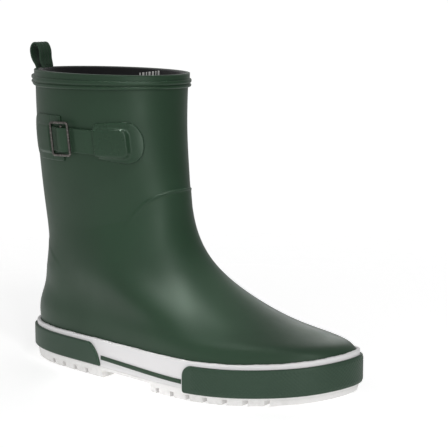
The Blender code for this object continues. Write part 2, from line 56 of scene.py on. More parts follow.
# ---------------------------------------------------------------- the boot's dimensions, as in the CAD
LENGTH = 290 * MM
CENTRE_Y = 4 * MM
TOE_TIP_Y = 12 * MM
LATERAL = [(0.93, -24), (0.82, -40.5), (0.67, -53.5), (0.5, -49.5), (0.3, -39), (0.13, -29.5)]
MEDIAL = [(0.13, 36.5), (0.30, 39), (0.47, 40), (0.64, 48), (0.78, 50.5), (0.92, 40)]
TREAD_DEPTH = 4.5 * MM
WAIST_HEIGHT = 6.5 * MM
OUTSOLE_EDGE = 9.2 * MM
FOXING_TOP = 30.3 * MM
TOE_SPRING = 7.5 * MM
SPRING_START = 0.72
BOARD_BASE = 12.2 * MM
HEEL_RISE = 8 * MM
FOXING_THICK = 2.7 * MM
BAND_THICK = 1.7 * MM
UPPER_INSET = FOXING_THICK + GAP
UPPER_THICK = 2.4 * MM
PATCH_THICK = 1.2 * MM
LINING_THICK = 1.3 * MM
LAYER_LOW = UPPER_THICK + PATCH_THICK + 2 * GAP
LAYER_HIGH = UPPER_THICK + GAP
FACING_THICK = 0.7 * MM
FACING_DEPTH = LAYER_HIGH + LINING_THICK + 1.1 * MM + FACING_THICK
# Sections of the upper from the foxing to the rim, in mm: (share of the way up,
# front x, front z, back x, back z, roundness, outline scale, half-width)
STATIONS = [
    (0.00, 142.0, 38.5, -142.0, 30.3, 0.00, 1.00, 45.0),
    (0.12, 130.7, 43.4, -142.0, 45.0, 0.04, 0.98, 45.0),
    (0.24, 89.1, 51.6, -136.5, 60.0, 0.23, 0.92, 43.5),
    (0.36, 21.0, 84.3, -132.0, 76.0, 0.28, 0.89, 40.0),
    (0.48, 1.5, 127.0, -129.5, 96.0, 0.95, 0.85, 38.5),
    (0.62, -1.8, 151.0, -132.0, 126.0, 1.00, 0.85, 40.5),
    (0.80, -5.7, 189.5, -135.5, 180.0, 1.00, 0.85, 46.0),
    (1.00, -5.0, 232.0, -136.0, 234.0, 1.00, 0.85, 48.5),
]
KEYS = [row[0] for row in STATIONS]
UPPER_TOP = 0.9945
UPPER_RUN = 240                     # mm of drop below the rim that make one whole level
SHAFT_RADIUS = 62 * MM              # mean radius, for laying cloth round the shaft
VAMP_RELIEF = 0.45 * MM
BAND_LOW = 12                       # mm below the rim, as the next two
TRIM_HIGH = 4.9
TRIM_LOW = 12.5
BAND_FACE = 1.0 * MM
EDGE_DEPTH = 1.7 * MM
STRAP_Z = 182.5 * MM
BUCKLE_Z = 183.5 * MM
STRAP_WIDTH = 18.5 * MM
STRAP_THICK = 1.6 * MM
OVER_STRAP = STRAP_THICK + 1.5 * GAP
BUCKLE_ANGLE = 99.0
BUCKLE_WIDTH = 18.5 * MM
BUCKLE_HEIGHT = 25 * MM
WIRE = 1.9 * MM
BAR_STANDOFF = 2.2 * MM
FRAME_STANDOFF = 4.0 * MM
LOOP_Y = CENTRE_Y - 5 * MM
LOOP_WIDTH = 14 * MM
LOOP_THICK = 1.5 * MM
LOOP_LEAN = math.radians(14)
PAD_THICK = 1.1 * MM
PAD_EDGE = 0.9 * MM
BAND_EDGE = 1.1 * MM
SOLE_TAPER = 1.8 * MM
PEEL = 9e-6                         # depth of the orange peel


# ---------------------------------------------------------------- numbers and curves

def smooth(low, high, value):
    """Eases from 0 at low to 1 at high."""
    share = np.clip((value - low) / (high - low), 0.0, 1.0)
    return share * share * (3.0 - 2.0 * share)


def spline(knots, values, at, period=None):
    """Cubic spline through the knots: natural ends, or periodic when a period is given."""
    knots = np.array(knots, float)
    values = np.array(values, float)
    if period:
        count = len(knots)
        turns = [-period, 0.0, period]
        knots = np.concatenate([knots + turn for turn in turns])
        values = np.tile(values, 3)
        at = np.mod(at - knots[count], period) + knots[count]
    steps = np.diff(knots)
    size = len(knots)
    system = np.eye(size)
    right = np.zeros(size)
    for i in range(1, size - 1):
        system[i, i - 1:i + 2] = [steps[i - 1], 2 * (steps[i - 1] + steps[i]), steps[i]]
        right[i] = 6 * ((values[i + 1] - values[i]) / steps[i] - (values[i] - values[i - 1]) / steps[i - 1])
    bend = np.linalg.solve(system, right)
    i = np.clip(np.searchsorted(knots, at, side="right") - 1, 0, size - 2)
    step = steps[i]
    a = (knots[i + 1] - at) / step
    b = 1 - a
    curve = ((a**3 - a) * bend[i] + (b**3 - b) * bend[i + 1]) * step**2 / 6
    return a * values[i] + b * values[i + 1] + curve


def run_along(points):
    """Length along a line of points, from its first point."""
    return np.concatenate([[0.0], np.cumsum(np.linalg.norm(np.diff(points, axis=0), axis=1))])


def outline(angles, outward=0.0):
    """Sole outline at the given angles (0 at the toe, pi at the heel), moved outward."""
    knots = [0.0]
    values = [TOE_TIP_Y]
    for share, breadth in LATERAL:
        knots.append(math.acos(2 * share - 1))
        values.append(breadth * MM)
    knots.append(math.pi)
    values.append(CENTRE_Y)
    for share, breadth in MEDIAL:
        knots.append(2 * math.pi - math.acos(2 * share - 1))
        values.append(breadth * MM)
    fine = 1e-3
    points = []
    for shift in (0.0, -fine, fine):
        turned = angles + shift
        points.append((LENGTH / 2 * np.cos(turned), spline(knots, values, turned, 2 * math.pi)))
    (x, y), (xa, ya), (xb, yb) = points
    run = np.hypot(xb - xa, yb - ya)
    return np.stack([x - outward * (yb - ya) / run, y + outward * (xb - xa) / run], axis=-1)


def spring(x):
    """Rise of the sole towards the toe."""
    share = (x / LENGTH + 0.5 - SPRING_START) / (1 - SPRING_START)
    return TOE_SPRING * np.clip(share, 0.0, 1.0)**2


def foxing_top(x):
    return FOXING_TOP + 0.7 * MM * smooth(0.15, 0.5, x / LENGTH) + spring(x)


def board_bottom(x):
    return BOARD_BASE + HEEL_RISE * (1 - smooth(-0.3, -0.04, x / LENGTH)) + spring(x)


def ring_angles(count):
    return np.arange(count) * 2 * math.pi / count


# ---------------------------------------------------------------- the surface of the upper

def skin(level, angle):
    """Outer face of the upper at a share of the way up and an angle round it."""
    level, angle = np.broadcast_arrays(np.asarray(level, float), np.asarray(angle, float))
    rows = [spline(KEYS, [row[i] for row in STATIONS], level) for i in range(1, 8)]
    front_x, front_z, back_x, back_z, roundness, scale, half = rows
    roundness = np.clip(roundness, 0.0, 1.0)
    foot = outline(angle, -UPPER_INSET)
    reach = LENGTH / 2 - UPPER_INSET
    share = np.clip((foot[..., 0] + reach) / (2 * reach), 0.0, 1.0)
    share = share * (1 - roundness) + (1 + np.cos(angle)) / 2 * roundness
    x = (back_x + (front_x - back_x) * share) * MM
    foot_y = CENTRE_Y + scale * (foot[..., 1] - CENTRE_Y)
    oval_y = CENTRE_Y - half * MM * np.sin(angle)
    y = foot_y * (1 - roundness) + oval_y * roundness
    line = (back_z + (front_z - back_z) * share) * MM
    first = STATIONS[0]
    ground = foxing_top(foot[..., 0]) - (first[4] + (first[2] - first[4]) * share) * MM
    fade = np.clip(1 - level / 0.25, 0.0, 1.0)**2
    return np.stack([x, y, line + ground * fade], axis=-1)


def skin_normal(level, angle):
    up = skin(level + 0.004, angle) - skin(level - 0.004, angle)
    around = skin(level, angle + 0.01) - skin(level, angle - 0.01)
    normal = np.cross(up, around)
    return normal / np.linalg.norm(normal, axis=-1, keepdims=True)


def level_at(angle, height):
    """Share of the way up at which the shaft reaches a height."""
    angle, height = np.broadcast_arrays(np.asarray(angle, float), np.asarray(height, float))
    low = np.full(angle.shape, 0.4)
    high = np.full(angle.shape, 1.02)
    for _ in range(24):
        middle = (low + high) / 2
        under = skin(middle, angle)[..., 2] < height
        low = np.where(under, middle, low)
        high = np.where(under, high, middle)
    return low


def on_shaft(degrees, height, lift):
    """Points on the shaft, moved outward by lift."""
    angle = np.radians(degrees)
    angle, height, lift = np.broadcast_arrays(angle, height, lift)
    level = level_at(angle, height)
    return skin(level, angle) + skin_normal(level, angle) * lift[..., None]


def level_rows(level, angles):
    """Points of the upper and their outward directions, laid level."""
    normal = skin_normal(level, angles)
    normal[..., 2] = 0.0
    return skin(level, angles), normal / np.linalg.norm(normal, axis=-1, keepdims=True)


def rim_rows(drops, angles):
    """Rows of the upper at distances in mm below the rim, and their level outward directions."""
    level = 1 - np.asarray(drops, float)[:, None] / UPPER_RUN
    return level_rows(level, np.asarray(angles, float)[None, :])


# ---------------------------------------------------------------- mesh helpers

def piece(name, points, faces, look, body="boot", slot=None, replaces=(), uv=None, flat=False):
    """Mesh piece with outward faces that rides on a body and stands for CAD nodes."""
    mesh = bpy.data.meshes.new(name)
    mesh.from_pydata(np.asarray(points).reshape(-1, 3).tolist(), [], faces)
    if uv is not None:
        layer = mesh.uv_layers.new(name="metres")
        corners = np.zeros(len(mesh.loops), np.int32)
        mesh.loops.foreach_get("vertex_index", corners)
        layer.data.foreach_set("uv", np.asarray(uv, np.float32).reshape(-1, 2)[corners].ravel())
    build = bmesh.new()
    build.from_mesh(mesh)
    bmesh.ops.recalc_face_normals(build, faces=build.faces)
    build.to_mesh(mesh)
    build.free()
    mesh.polygons.foreach_set("use_smooth", [not flat] * len(mesh.polygons))
    mesh.materials.append(look)
    made = bpy.data.objects.new(name, mesh)
    bpy.context.scene.collection.objects.link(made)
    if body:
        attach(made, body)
    if replaces:
        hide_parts(*replaces)
    return made


def grid_faces(rows, columns, closed, start=0, turned=False):
    faces = []
    wrap = columns if closed else columns - 1
    for j in range(rows - 1):
        for i in range(wrap):
            k = (i + 1) % columns
            a, b = start + j * columns + i, start + j * columns + k
            face = (a, b, b + columns, a + columns)
            faces.append(face[::-1] if turned else face)
    return faces


def shell_data(outer, inner, closed):
    """Closed shell between two grids with the same columns; the row counts may differ."""
    rows, columns = outer.shape[:2]
    back = inner.shape[0]
    start = rows * columns
    faces = grid_faces(rows, columns, closed) + grid_faces(back, columns, closed, start, True)
    wrap = columns if closed else columns - 1
    for a_row, b_row in ((0, 0), (rows - 1, back - 1)):
        for i in range(wrap):
            k = (i + 1) % columns
            a, b = a_row * columns, start + b_row * columns
            faces.append((a + i, a + k, b + k, b + i))
    if not closed:
        for i in (0, columns - 1):
            left = [j * columns + i for j in range(rows)]
            right = [start + j * columns + i for j in range(back)]
            for j in range(min(rows, back) - 1):
                faces.append((left[j], left[j + 1], right[j + 1], right[j]))
    points = np.concatenate([outer.reshape(-1, 3), inner.reshape(-1, 3)])
    return points, faces


def shell(name, outer, inner, look, closed=False, **words):
    points, faces = shell_data(outer, inner, closed)
    return piece(name, points, faces, look, **words)


def sweep_data(sections, closed_path):
    sections = np.asarray(sections)
    count, size = sections.shape[:2]
    faces = []
    for i in range(count if closed_path else count - 1):
        a, b = i * size, (i + 1) % count * size
        for j in range(size):
            k = (j + 1) % size
            faces.append((a + j, a + k, b + k, b + j))
    if not closed_path:
        faces.append(tuple(range(size)))
        faces.append(tuple((count - 1) * size + j for j in range(size)))
    return sections.reshape(-1, 3), faces


def sweep(name, sections, look, closed_path=False, **words):
    points, faces = sweep_data(sections, closed_path)
    return piece(name, points, faces, look, **words)


def joined(parts):
    """Points and faces of several meshes as one."""
    points, faces, start = [], [], 0
    for some_points, some_faces in parts:
        points.append(np.asarray(some_points).reshape(-1, 3))
        faces += [tuple(v + start for v in face) for face in some_faces]
        start += len(points[-1])
    return np.concatenate(points), faces


# ---------------------------------------------------------------- material helpers

def new_look(name):
    made = bpy.data.materials.new(name)
    made.use_nodes = True
    return made, made.node_tree, made.node_tree.nodes["Principled BSDF"]


def connect(tree, node, inputs):
    """Links the sockets among the inputs to a node and sets the plain values."""
    for key, value in inputs.items():
        if isinstance(value, bpy.types.NodeSocket):
            tree.links.new(value, node.inputs[key])
        else:
            node.inputs[key].default_value = value
    return node


def add(tree, kind, inputs=None, **settings):
    node = tree.nodes.new(kind)
    for key, value in settings.items():
        setattr(node, key, value)
    return connect(tree, node, inputs or {})


def number(tree, operation, a, b=0.0):
    return add(tree, "ShaderNodeMath", {0: a, 1: b}, operation=operation).outputs[0]


def noise(tree, place, scale, detail=3.0, rough=0.5):
    inputs = {"Vector": place, "Scale": scale, "Detail": detail, "Roughness": rough}
    return add(tree, "ShaderNodeTexNoise", inputs).outputs[0]


def spread(tree, value, low, high, to_low=0.0, to_high=1.0):
    inputs = {"Value": value, "From Min": low, "From Max": high, "To Min": to_low, "To Max": to_high}
    return add(tree, "ShaderNodeMapRange", inputs).outputs[0]


def blend_colours(tree, share, a, b):
    node = add(tree, "ShaderNodeMix", {0: share, 6: a, 7: b}, data_type="RGBA")
    return node.outputs[2]


def bump(tree, height, distance, under=None):
    inputs = {"Height": height, "Distance": distance, "Strength": 1.0}
    if under is not None:
        inputs["Normal"] = under
    return add(tree, "ShaderNodeBump", inputs).outputs[0]


def shade(colour, factor):
    return (colour[0] * factor, colour[1] * factor, colour[2] * factor, 1.0)


def mottled(tree, share, colour, dark, light):
    """Tone between a darker and a lighter shade of one colour."""
    return blend_colours(tree, share, shade(colour, dark), shade(colour, light))


def object_place(tree):
    return add(tree, "ShaderNodeTexCoord").outputs["Object"]


def rubber(name, colour, roughness, mottle=0.10):
    """Moulded rubber: slightly uneven tone, orange peel, faint scuffs and dull patches."""
    made, tree, shader = new_look(name)
    place = object_place(tree)
    cloud = spread(tree, noise(tree, place, 16.0, 4.0), 0.32, 0.68)
    tone = mottled(tree, cloud, colour, 1 - mottle, 1 + mottle)
    stretch = add(tree, "ShaderNodeMapping", {"Vector": place, "Scale": (900.0, 900.0, 60.0)}).outputs[0]
    lines = spread(tree, noise(tree, stretch, 1.0, 2.0, 0.6), 0.62, 0.80)
    scuffed = spread(tree, noise(tree, place, 26.0, 2.0), 0.52, 0.70, 0.0, 0.5)
    wear = number(tree, "MULTIPLY", lines, scuffed)
    pale = [part * gain + 0.01 for part, gain in zip(colour, (1.7, 1.6, 1.7))] + [1.0]
    dull = spread(tree, noise(tree, place, 60.0, 5.0, 0.6), 0.3, 0.7, roughness - 0.035, roughness + 0.045)
    peel = bump(tree, noise(tree, place, 1500.0, 2.0), PEEL)
    connect(tree, shader, {
        "Base Color": blend_colours(tree, number(tree, "MULTIPLY", wear, 0.45), tone, pale),
        "Roughness": number(tree, "ADD", dull, number(tree, "MULTIPLY", wear, 0.10)),
        "Specular IOR Level": 0.42,
        "Specular Tint": (0.84, 1.0, 0.88, 1.0),
        "Normal": bump(tree, noise(tree, place, 330.0, 3.0), PEEL * 2.2, peel),
    })
    return made


def white_rubber(name, colour, roughness, grime=0.0):
    """White moulded rubber with a fine grain and a little grime towards the ground."""
    made, tree, shader = new_look(name)
    place = object_place(tree)
    cloud = spread(tree, noise(tree, place, 24.0, 5.0, 0.6), 0.35, 0.65)
    tone = mottled(tree, cloud, colour, 0.965, 1.0)
    height = add(tree, "ShaderNodeSeparateXYZ", {0: place}).outputs[2]
    low = spread(tree, height, 0.0, 0.009, grime, 0.0)
    low = number(tree, "MULTIPLY", low, spread(tree, noise(tree, place, 180.0, 4.0, 0.7), 0.42, 0.72))
    dull = noise(tree, place, 90.0, 4.0)
    grain = bump(tree, noise(tree, place, 1300.0, 2.0), 1.4e-5)
    connect(tree, shader, {
        "Base Color": blend_colours(tree, low, tone, (0.42, 0.41, 0.385, 1.0)),
        "Roughness": spread(tree, dull, 0.3, 0.7, roughness - 0.05, roughness + 0.06),
        "Specular IOR Level": 0.35,
        "Normal": bump(tree, noise(tree, place, 420.0, 2.0), 2.2e-5, grain),
    })
    return made


def sine(tree, value, pitch):
    """Wave between 0 and 1 with the given pitch in metres."""
    turned = number(tree, "MULTIPLY", value, 2 * math.pi / pitch)
    return spread(tree, number(tree, "SINE", turned), -1.0, 1.0)


def textile(name, colour, pitch, depth, roughness=0.92):
    """Knitted cloth: loops in rows, laid out by the piece's own metres, with painted shade between the loops
    and painted light on their crests.
    """
    made, tree, shader = new_look(name)
    place = add(tree, "ShaderNodeUVMap", uv_map="metres").outputs[0]
    split = add(tree, "ShaderNodeSeparateXYZ", {0: place})
    across, along = split.outputs[0], split.outputs[1]
    wale = sine(tree, across, pitch)
    bent = number(tree, "ADD", along, number(tree, "MULTIPLY", wale, pitch * 0.45))
    loops = number(tree, "MULTIPLY", sine(tree, bent, pitch * 0.8), wale)
    fuzz = noise(tree, place, 5200.0, 3.0)
    height = number(tree, "ADD", loops, number(tree, "MULTIPLY", fuzz, 0.5))
    # painted shade and highlight: the colour runs darker between the loops and lighter on their crests,
    # following the knit's height
    tone = mottled(tree, loops, colour, 0.55, 1.5)
    connect(tree, shader, {
        "Base Color": blend_colours(tree, spread(tree, fuzz, 0.3, 0.7, 0.0, 0.35), tone, shade(colour, 2.2)),
        "Roughness": roughness,
        "Specular IOR Level": 0.2,
        "Sheen Weight": 0.25,
        "Sheen Roughness": 0.5,
        "Normal": bump(tree, height, depth),
    })
    return made


def gunmetal(name, colour, roughness):
    """Dark antique plating: worn brighter in places, with fine brushing and pits."""
    made, tree, shader = new_look(name)
    place = object_place(tree)
    worn = spread(tree, noise(tree, place, 420.0, 5.0, 0.65), 0.42, 0.66)
    connect(tree, shader, {
        "Base Color": mottled(tree, worn, colour, 0.62, 1.45),
        "Metallic": 1.0,
        "Roughness": spread(tree, worn, 0.0, 1.0, roughness + 0.12, roughness - 0.06),
        "Normal": bump(tree, noise(tree, place, 2600.0, 3.0), 1.2e-5),
    })
    return made


def plain_grain(name, colour, roughness, scale, depth, contrast=0.25, metallic=0.0):
    """Grained look for the print, the layers and the pieces inside the sole."""
    made, tree, shader = new_look(name)
    grain = noise(tree, object_place(tree), scale, 5.0, 0.65)
    connect(tree, shader, {
        "Base Color": mottled(tree, spread(tree, grain, 0.3, 0.7), colour, 1 - contrast, 1 + contrast),
        "Roughness": spread(tree, grain, 0.3, 0.7, roughness - 0.06, roughness + 0.06),
        "Metallic": metallic,
        "Normal": bump(tree, grain, depth),
    })
    return made


# ---------------------------------------------------------------- thin pads laid on a surface

def distance_to(line, points):
    """Distance from points in a plane to a closed polyline."""
    starts = np.asarray(line, float)
    best = np.full(points.shape[:-1], 1e9)
    for start, end in zip(starts, np.roll(starts, -1, axis=0)):
        run = end - start
        size = float(run @ run)
        if size < 1e-16:
            continue
        share = np.clip(((points - start) @ run) / size, 0.0, 1.0)
        best = np.minimum(best, np.linalg.norm(points - start - share[..., None] * run, axis=-1))
    return best


def rounded_edge(distance, radius):
    """Rise of a rounded border: 0 at the edge and 1 from radius inward."""
    inside = 1 - np.clip(distance / radius, 0.0, 1.0)
    return np.sqrt(np.clip(1 - inside**2, 0.0, 1.0))


def fillet(off, radius):
    """What a rounded corner takes off at a distance into it."""
    off = np.clip(off, 0.0, radius)
    return radius - np.sqrt(np.clip(radius**2 - off**2, 0.0, None))


def oval(share, power):
    """Half-height of a rounded end at a share of the way out to its tip."""
    return (1 - share**power)**(1 / power)


def eased(count):
    """Shares from 0 to 1, closer together at both ends."""
    return (1 - np.cos(np.linspace(0, math.pi, count))) / 2


def cleaned(made, merge=2e-6):
    """Drops unused points and degenerate faces."""
    build = bmesh.new()
    build.from_mesh(made.data)
    bmesh.ops.remove_doubles(build, verts=build.verts, dist=merge)
    bmesh.ops.dissolve_degenerate(build, edges=build.edges, dist=merge)
    loose = [v for v in build.verts if not v.link_faces]
    bmesh.ops.delete(build, geom=loose, context="VERTS")
    bmesh.ops.recalc_face_normals(build, faces=build.faces)
    build.to_mesh(made.data)
    build.free()
    made.data.polygons.foreach_set("use_smooth", [True] * len(made.data.polygons))


def pad_data(across, heights, border, place, lift, thick=PAD_THICK, edge_radius=PAD_EDGE):
    """Points and faces of a thin pad over a grid of (along, height), rounded at its border.

    place puts (along, height, lift) in space, and lift is the extra stand-off at (along, height).
    """
    depth = distance_to(border, np.stack([across, heights], axis=-1))
    extra = lift(across, heights)
    top = GAP + thick * (0.12 + 0.88 * rounded_edge(depth, edge_radius)) + extra
    under = GAP + np.minimum(extra, np.maximum(0.0, top - GAP - 0.1 * MM))
    return shell_data(place(across, heights, top), place(across, heights, under), False)


def no_lift(along, height):
    return 0.0 * along


def pad(name, along, edges, place, lift, look, rows, thick=PAD_THICK, edge_radius=PAD_EDGE, **words):
    """Thin pad over columns along a surface; edges gives each column's lower and upper edge."""
    low, high = edges
    heights = low + (high - low) * eased(rows)[:, None]
    border = np.concatenate([np.stack([along, low], 1), np.stack([along, high], 1)[::-1]])
    across = np.broadcast_to(along, heights.shape)
    points, faces = pad_data(across, heights, border, place, lift, thick, edge_radius)
    cleaned(piece(name, points, faces, look, **words))


# ---------------------------------------------------------------- the upper, its lining and the collar

VAMP_LINE = [(-64, 114.3), (-57, 123.2), (-48.5, 132.5), (-40.5, 138.4), (-22.5, 144.1), (0, 145.5),
             (22.5, 144.1), (40.5, 138.4), (48.5, 132.5), (57, 123.2), (64, 114.3)]


def vamp_relief(points, degrees):
    """The vamp reinforcement showing through the rubber as a low step."""
    knots, heights = zip(*VAMP_LINE)
    at = np.clip(degrees, -66, 66)
    line = spline(knots, heights, at)
    slope = (spline(knots, heights, at + 0.5) - spline(knots, heights, at - 0.5)) / 0.87
    below = (line - points[..., 2] / MM) / np.sqrt(1 + slope**2)
    step = smooth(-1.0, 0.6, below) * np.exp(-np.clip(below, 0, None) / 16)
    ridge = np.exp(-((below - 0.5) / 0.9)**2)
    fade = 1 - smooth(52, 66, np.abs(degrees))
    return VAMP_RELIEF * (step + ridge) * fade


def counter_relief(points, degrees):
    """The top edge of the heel counter, felt through the rubber at the back."""
    off = (degrees % 360 - 180) / 62
    line = 102 - 24 * off**2
    below = line - points[..., 2] / MM
    step = smooth(-1.6, 1.6, below) * np.exp(-np.clip(below, 0, None) / 22)
    return 0.35 * step * (1 - smooth(0.75, 1.0, np.abs(off))) * MM


def picked(count, kept):
    """Indices of evenly spread rows, first and last included."""
    return np.unique(np.round(np.linspace(0, count - 1, kept)).astype(int))


def make_upper(look):
    angles = ring_angles(300)
    degrees = (np.degrees(angles) + 180) % 360 - 180
    levels = np.concatenate([np.linspace(0, 0.44, 80)[:-1], np.linspace(0.44, 0.62, 78)[:-1],
                             np.linspace(0.62, UPPER_TOP, 56)])
    face = skin(levels[:, None], angles[None, :])
    out = skin_normal(levels[:, None], angles[None, :])
    lift = vamp_relief(face, degrees[None, :]) + counter_relief(face, degrees[None, :])
    wall = np.repeat(face[:1], 3, axis=0)
    bottom = OUTSOLE_EDGE + GAP + spring(face[0, :, 0])
    for i, share in enumerate((0.0, 0.45, 0.9)):
        wall[i, :, 2] = bottom + (face[0, :, 2] - bottom) * share
    outer = np.concatenate([wall, face + out * lift[..., None]])
    pick = picked(len(levels), 24)
    inner = face[pick] - out[pick] * UPPER_THICK
    low = inner[:1].copy()
    low[..., 2] = bottom
    inner = np.concatenate([low, inner])
    shell("upper_skin", outer, inner, look, True, slot="upper_rubber", replaces=["upper_shell"])


def make_layers():
    """Reinforcements cemented between the upper and the lining."""
    for name, node, slot, turn, levels, tone in (
            ("toe_layer", "toe_puff", "puff", (-54, 54), (0.0, 0.19), 0.10),
            ("vamp_layer", "vamp_reinforcement", "reinforcement", (-63, 63), (0.36, 0.52), 0.09),
            ("counter_layer", "heel_counter", "counter", (126, 234), (0.0, 0.36), 0.11)):
        at = np.linspace(*levels, 36)[:, None]
        angles = np.radians(np.linspace(*turn, 80))[None, :]
        face, out = skin(at, angles), skin_normal(at, angles)
        look = plain_grain(name + "_rubber", (tone, tone, tone * 0.9), 0.7, 500, 4e-5)
        shell(name, face - out * LAYER_HIGH, face - out * (LAYER_HIGH + PATCH_THICK), look,
              slot=slot, replaces=[node])


def with_foot(rows):
    """Rows of the lining with one more below them, just above the insole board."""
    foot = rows[:1].copy()
    foot[..., 2] = board_bottom(foot[..., 0]) + 2.4 * MM
    rows[0, :, 2] = np.maximum(rows[0, :, 2], foot[0, :, 2] + 1 * MM)
    return np.concatenate([foot, rows])


def make_lining(look, facing_look, print_look):
    angles = ring_angles(220)
    levels = np.linspace(0.0, UPPER_TOP, 130)
    depth = np.interp(levels, [0.60, 0.70], [LAYER_LOW, LAYER_HIGH])[:, None, None]
    face = skin(levels[:, None], angles[None, :])
    out = skin_normal(levels[:, None], angles[None, :])
    inner = with_foot(face - out * (depth + LINING_THICK))
    outer = with_foot((face - out * depth)[picked(len(levels), 30)])
    around = angles[None, :] * SHAFT_RADIUS
    uv = np.concatenate([grid_uv(inner, around), grid_uv(outer, around)])
    shell("lining_knit", inner, outer, look, True, slot="lining_textile", replaces=["lining"], uv=uv)
    make_facing(facing_look, print_look)


def grid_uv(rows, around):
    heights = rows[..., 2]
    return np.stack([np.broadcast_to(around, heights.shape), heights], axis=-1).reshape(-1, 2)




def make_facing(look, print_look):
    """Woven facing inside the rim, turned over its top edge, with a printed row of plain bars."""
    angles = ring_angles(300)
    inner_depth = FACING_DEPTH / MM
    outer_depth = inner_depth - FACING_THICK / MM
    lip = EDGE_DEPTH / MM + 0.05
    line = [(inner_depth - 0.5 * smooth(31, 34, d), d) for d in np.linspace(34, 1.4, 38)]
    turn = np.linspace(0, math.pi / 2, 8)
    line += [(inner_depth - 1.2 + 1.2 * math.cos(t), 1.4 - 1.15 * math.sin(t)) for t in turn[1:]]
    line += [(depth, 0.25) for depth in np.linspace(inner_depth - 1.2, lip + 0.3, 5)[1:]]
    line += [(lip + 0.3 - 0.3 * math.sin(t), 0.55 - 0.3 * math.cos(t)) for t in turn[1:]]
    line += [(lip, 1.0), (outer_depth, 1.05)]
    line += [(outer_depth, d) for d in (6, 14, 24, 33.9)]
    line = np.array(line, float)
    face, out = rim_rows(line[:, 1], angles)
    rows = face - out * line[:, 0, None, None] * MM
    run = run_along(line) * MM
    uv = np.stack([np.broadcast_to(angles[None, :] * SHAFT_RADIUS, rows.shape[:2]),
                   np.broadcast_to(run[:, None], rows.shape[:2])], axis=-1)
    sweep("lining_facing", np.swapaxes(rows, 0, 1), look, True, slot="facing_textile",
          replaces=["lining_collar"], uv=np.swapaxes(uv, 0, 1).reshape(-1, 2))
    bars = []
    for degrees in (264.5, 84.0):
        for i, width in enumerate((1.1, 1.9, 1.1, 1.9, 1.9, 1.1, 1.9)):
            degrees += width / 2 + 0.75
            bars.append(print_bar(degrees, width, 4.2 - 0.45 * i))
            degrees += width / 2 + 0.75
    points, faces = joined(bars)
    piece("lining_print", points, faces, print_look, slot="facing_textile")


def print_bar(degrees, width, high):
    """One raised printed bar on the facing."""
    around = math.radians(degrees) + np.linspace(-0.5, 0.5, 6) * math.radians(width)
    drops = np.linspace(high + 6.5, high, 7)
    face, out = rim_rows(drops, around)
    inner = face - out * (FACING_DEPTH + 0.10 * MM)
    outer = face - out * (FACING_DEPTH - 0.1 * MM)
    return shell_data(inner, outer, False)


def bulge(rows):
    """Extra stand-off where the trim passes over the tail of the pull loop."""
    near = smooth(18 * MM, 12.6 * MM, np.abs(rows[..., 1] - LOOP_Y))
    return near * (rows[..., 0] < -100 * MM)


def hump(drops, centre, half, tall):
    """Rounded ridge across a row of drops."""
    return tall * np.sqrt(np.clip(1 - ((drops - centre) / half)**2, 0.0, 1.0))


def collar_rows(drops, angles):
    """Rows of the upper under the trim, which sits a little higher round the back."""
    drops = np.asarray(drops, float)[:, None]
    back = smooth(0.55, 1.0, -np.cos(angles))[None, :]
    level = 1 - drops * (1 - 0.15 * back * smooth(1.5, 4.5, drops)) / UPPER_RUN
    return level_rows(level, angles[None, :])


def make_collar(looks):
    angles = ring_angles(420)
    drops = np.linspace(BAND_LOW, 1.06, 42)
    face, out = rim_rows(drops, angles)
    edge = rounded_edge((BAND_LOW - drops) * MM, 0.4 * MM)
    lift = (0.4 * MM + (BAND_FACE - 0.4 * MM) * edge)[:, None, None]
    back = [0, 14, 28, 41]
    shell("collar_band_skin", face + out * lift, (face + out * GAP)[back], looks["collar"], True,
          slot="collar_rubber", replaces=["collar_band"])
    drops = np.linspace(TRIM_LOW, TRIM_HIGH, 76)
    face, out = collar_rows(drops, angles)
    profile = 0.12 * rounded_edge(np.minimum(drops - TRIM_HIGH, TRIM_LOW - drops) * MM, 0.3 * MM)
    profile = np.maximum(profile, hump(drops, 7.05, 2.0, 1.25))
    profile = np.maximum(profile, hump(drops, 10.95, 1.45, 1.15))
    under = BAND_FACE + 0.08 * MM + bulge(face) * (LOOP_THICK + 2 * GAP)
    lift = under + (0.14 + profile)[:, None] * MM
    back = [0, 15, 30, 45, 60, 75]
    shell("collar_ridges", face + out * lift[..., None], (face + out * under[..., None])[back],
          looks["trim"], True, slot="trim_rubber", replaces=["collar_trim"])
    turn = np.linspace(0, math.pi / 2, 6)
    radius, front, rear = 0.45, BAND_FACE / MM, -EDGE_DEPTH / MM
    side = [(front, 1.0)]
    side += [(front - radius + radius * math.cos(t), radius - radius * math.sin(t)) for t in turn]
    side += [(rear + radius - radius * math.sin(t), radius - radius * math.cos(t)) for t in turn]
    side = np.array(side + [(rear, 1.0)])
    face, out = rim_rows(side[:, 1], angles)
    away = side[:, 0, None, None] * MM
    sweep("rim_bead", np.swapaxes(face + out * away, 0, 1), looks["bead"], True,
          slot="bead_rubber", replaces=["collar_bead"])


# ---------------------------------------------------------------- strap, patches and buckle

ROUND = np.linspace(20, 160, 561)
ARC = run_along(on_shaft(ROUND, STRAP_Z, 0.0))


def arc_at(degrees):
    """Length round the shaft at the strap's height, from 20 degrees."""
    return np.interp(degrees, ROUND, ARC)


def on_side(along, height, lift):
    return on_shaft(np.interp(along, ARC, ROUND), height, lift)


def strap_centre(degrees):
    """Height of the strap's centre line round the shaft."""
    return np.interp(degrees, [50, 62, 74, 90, 100, 112, 128],
                     [181.3, 181.5, 181.9, 182.7, 182.8, 182.6, 182.5]) * MM


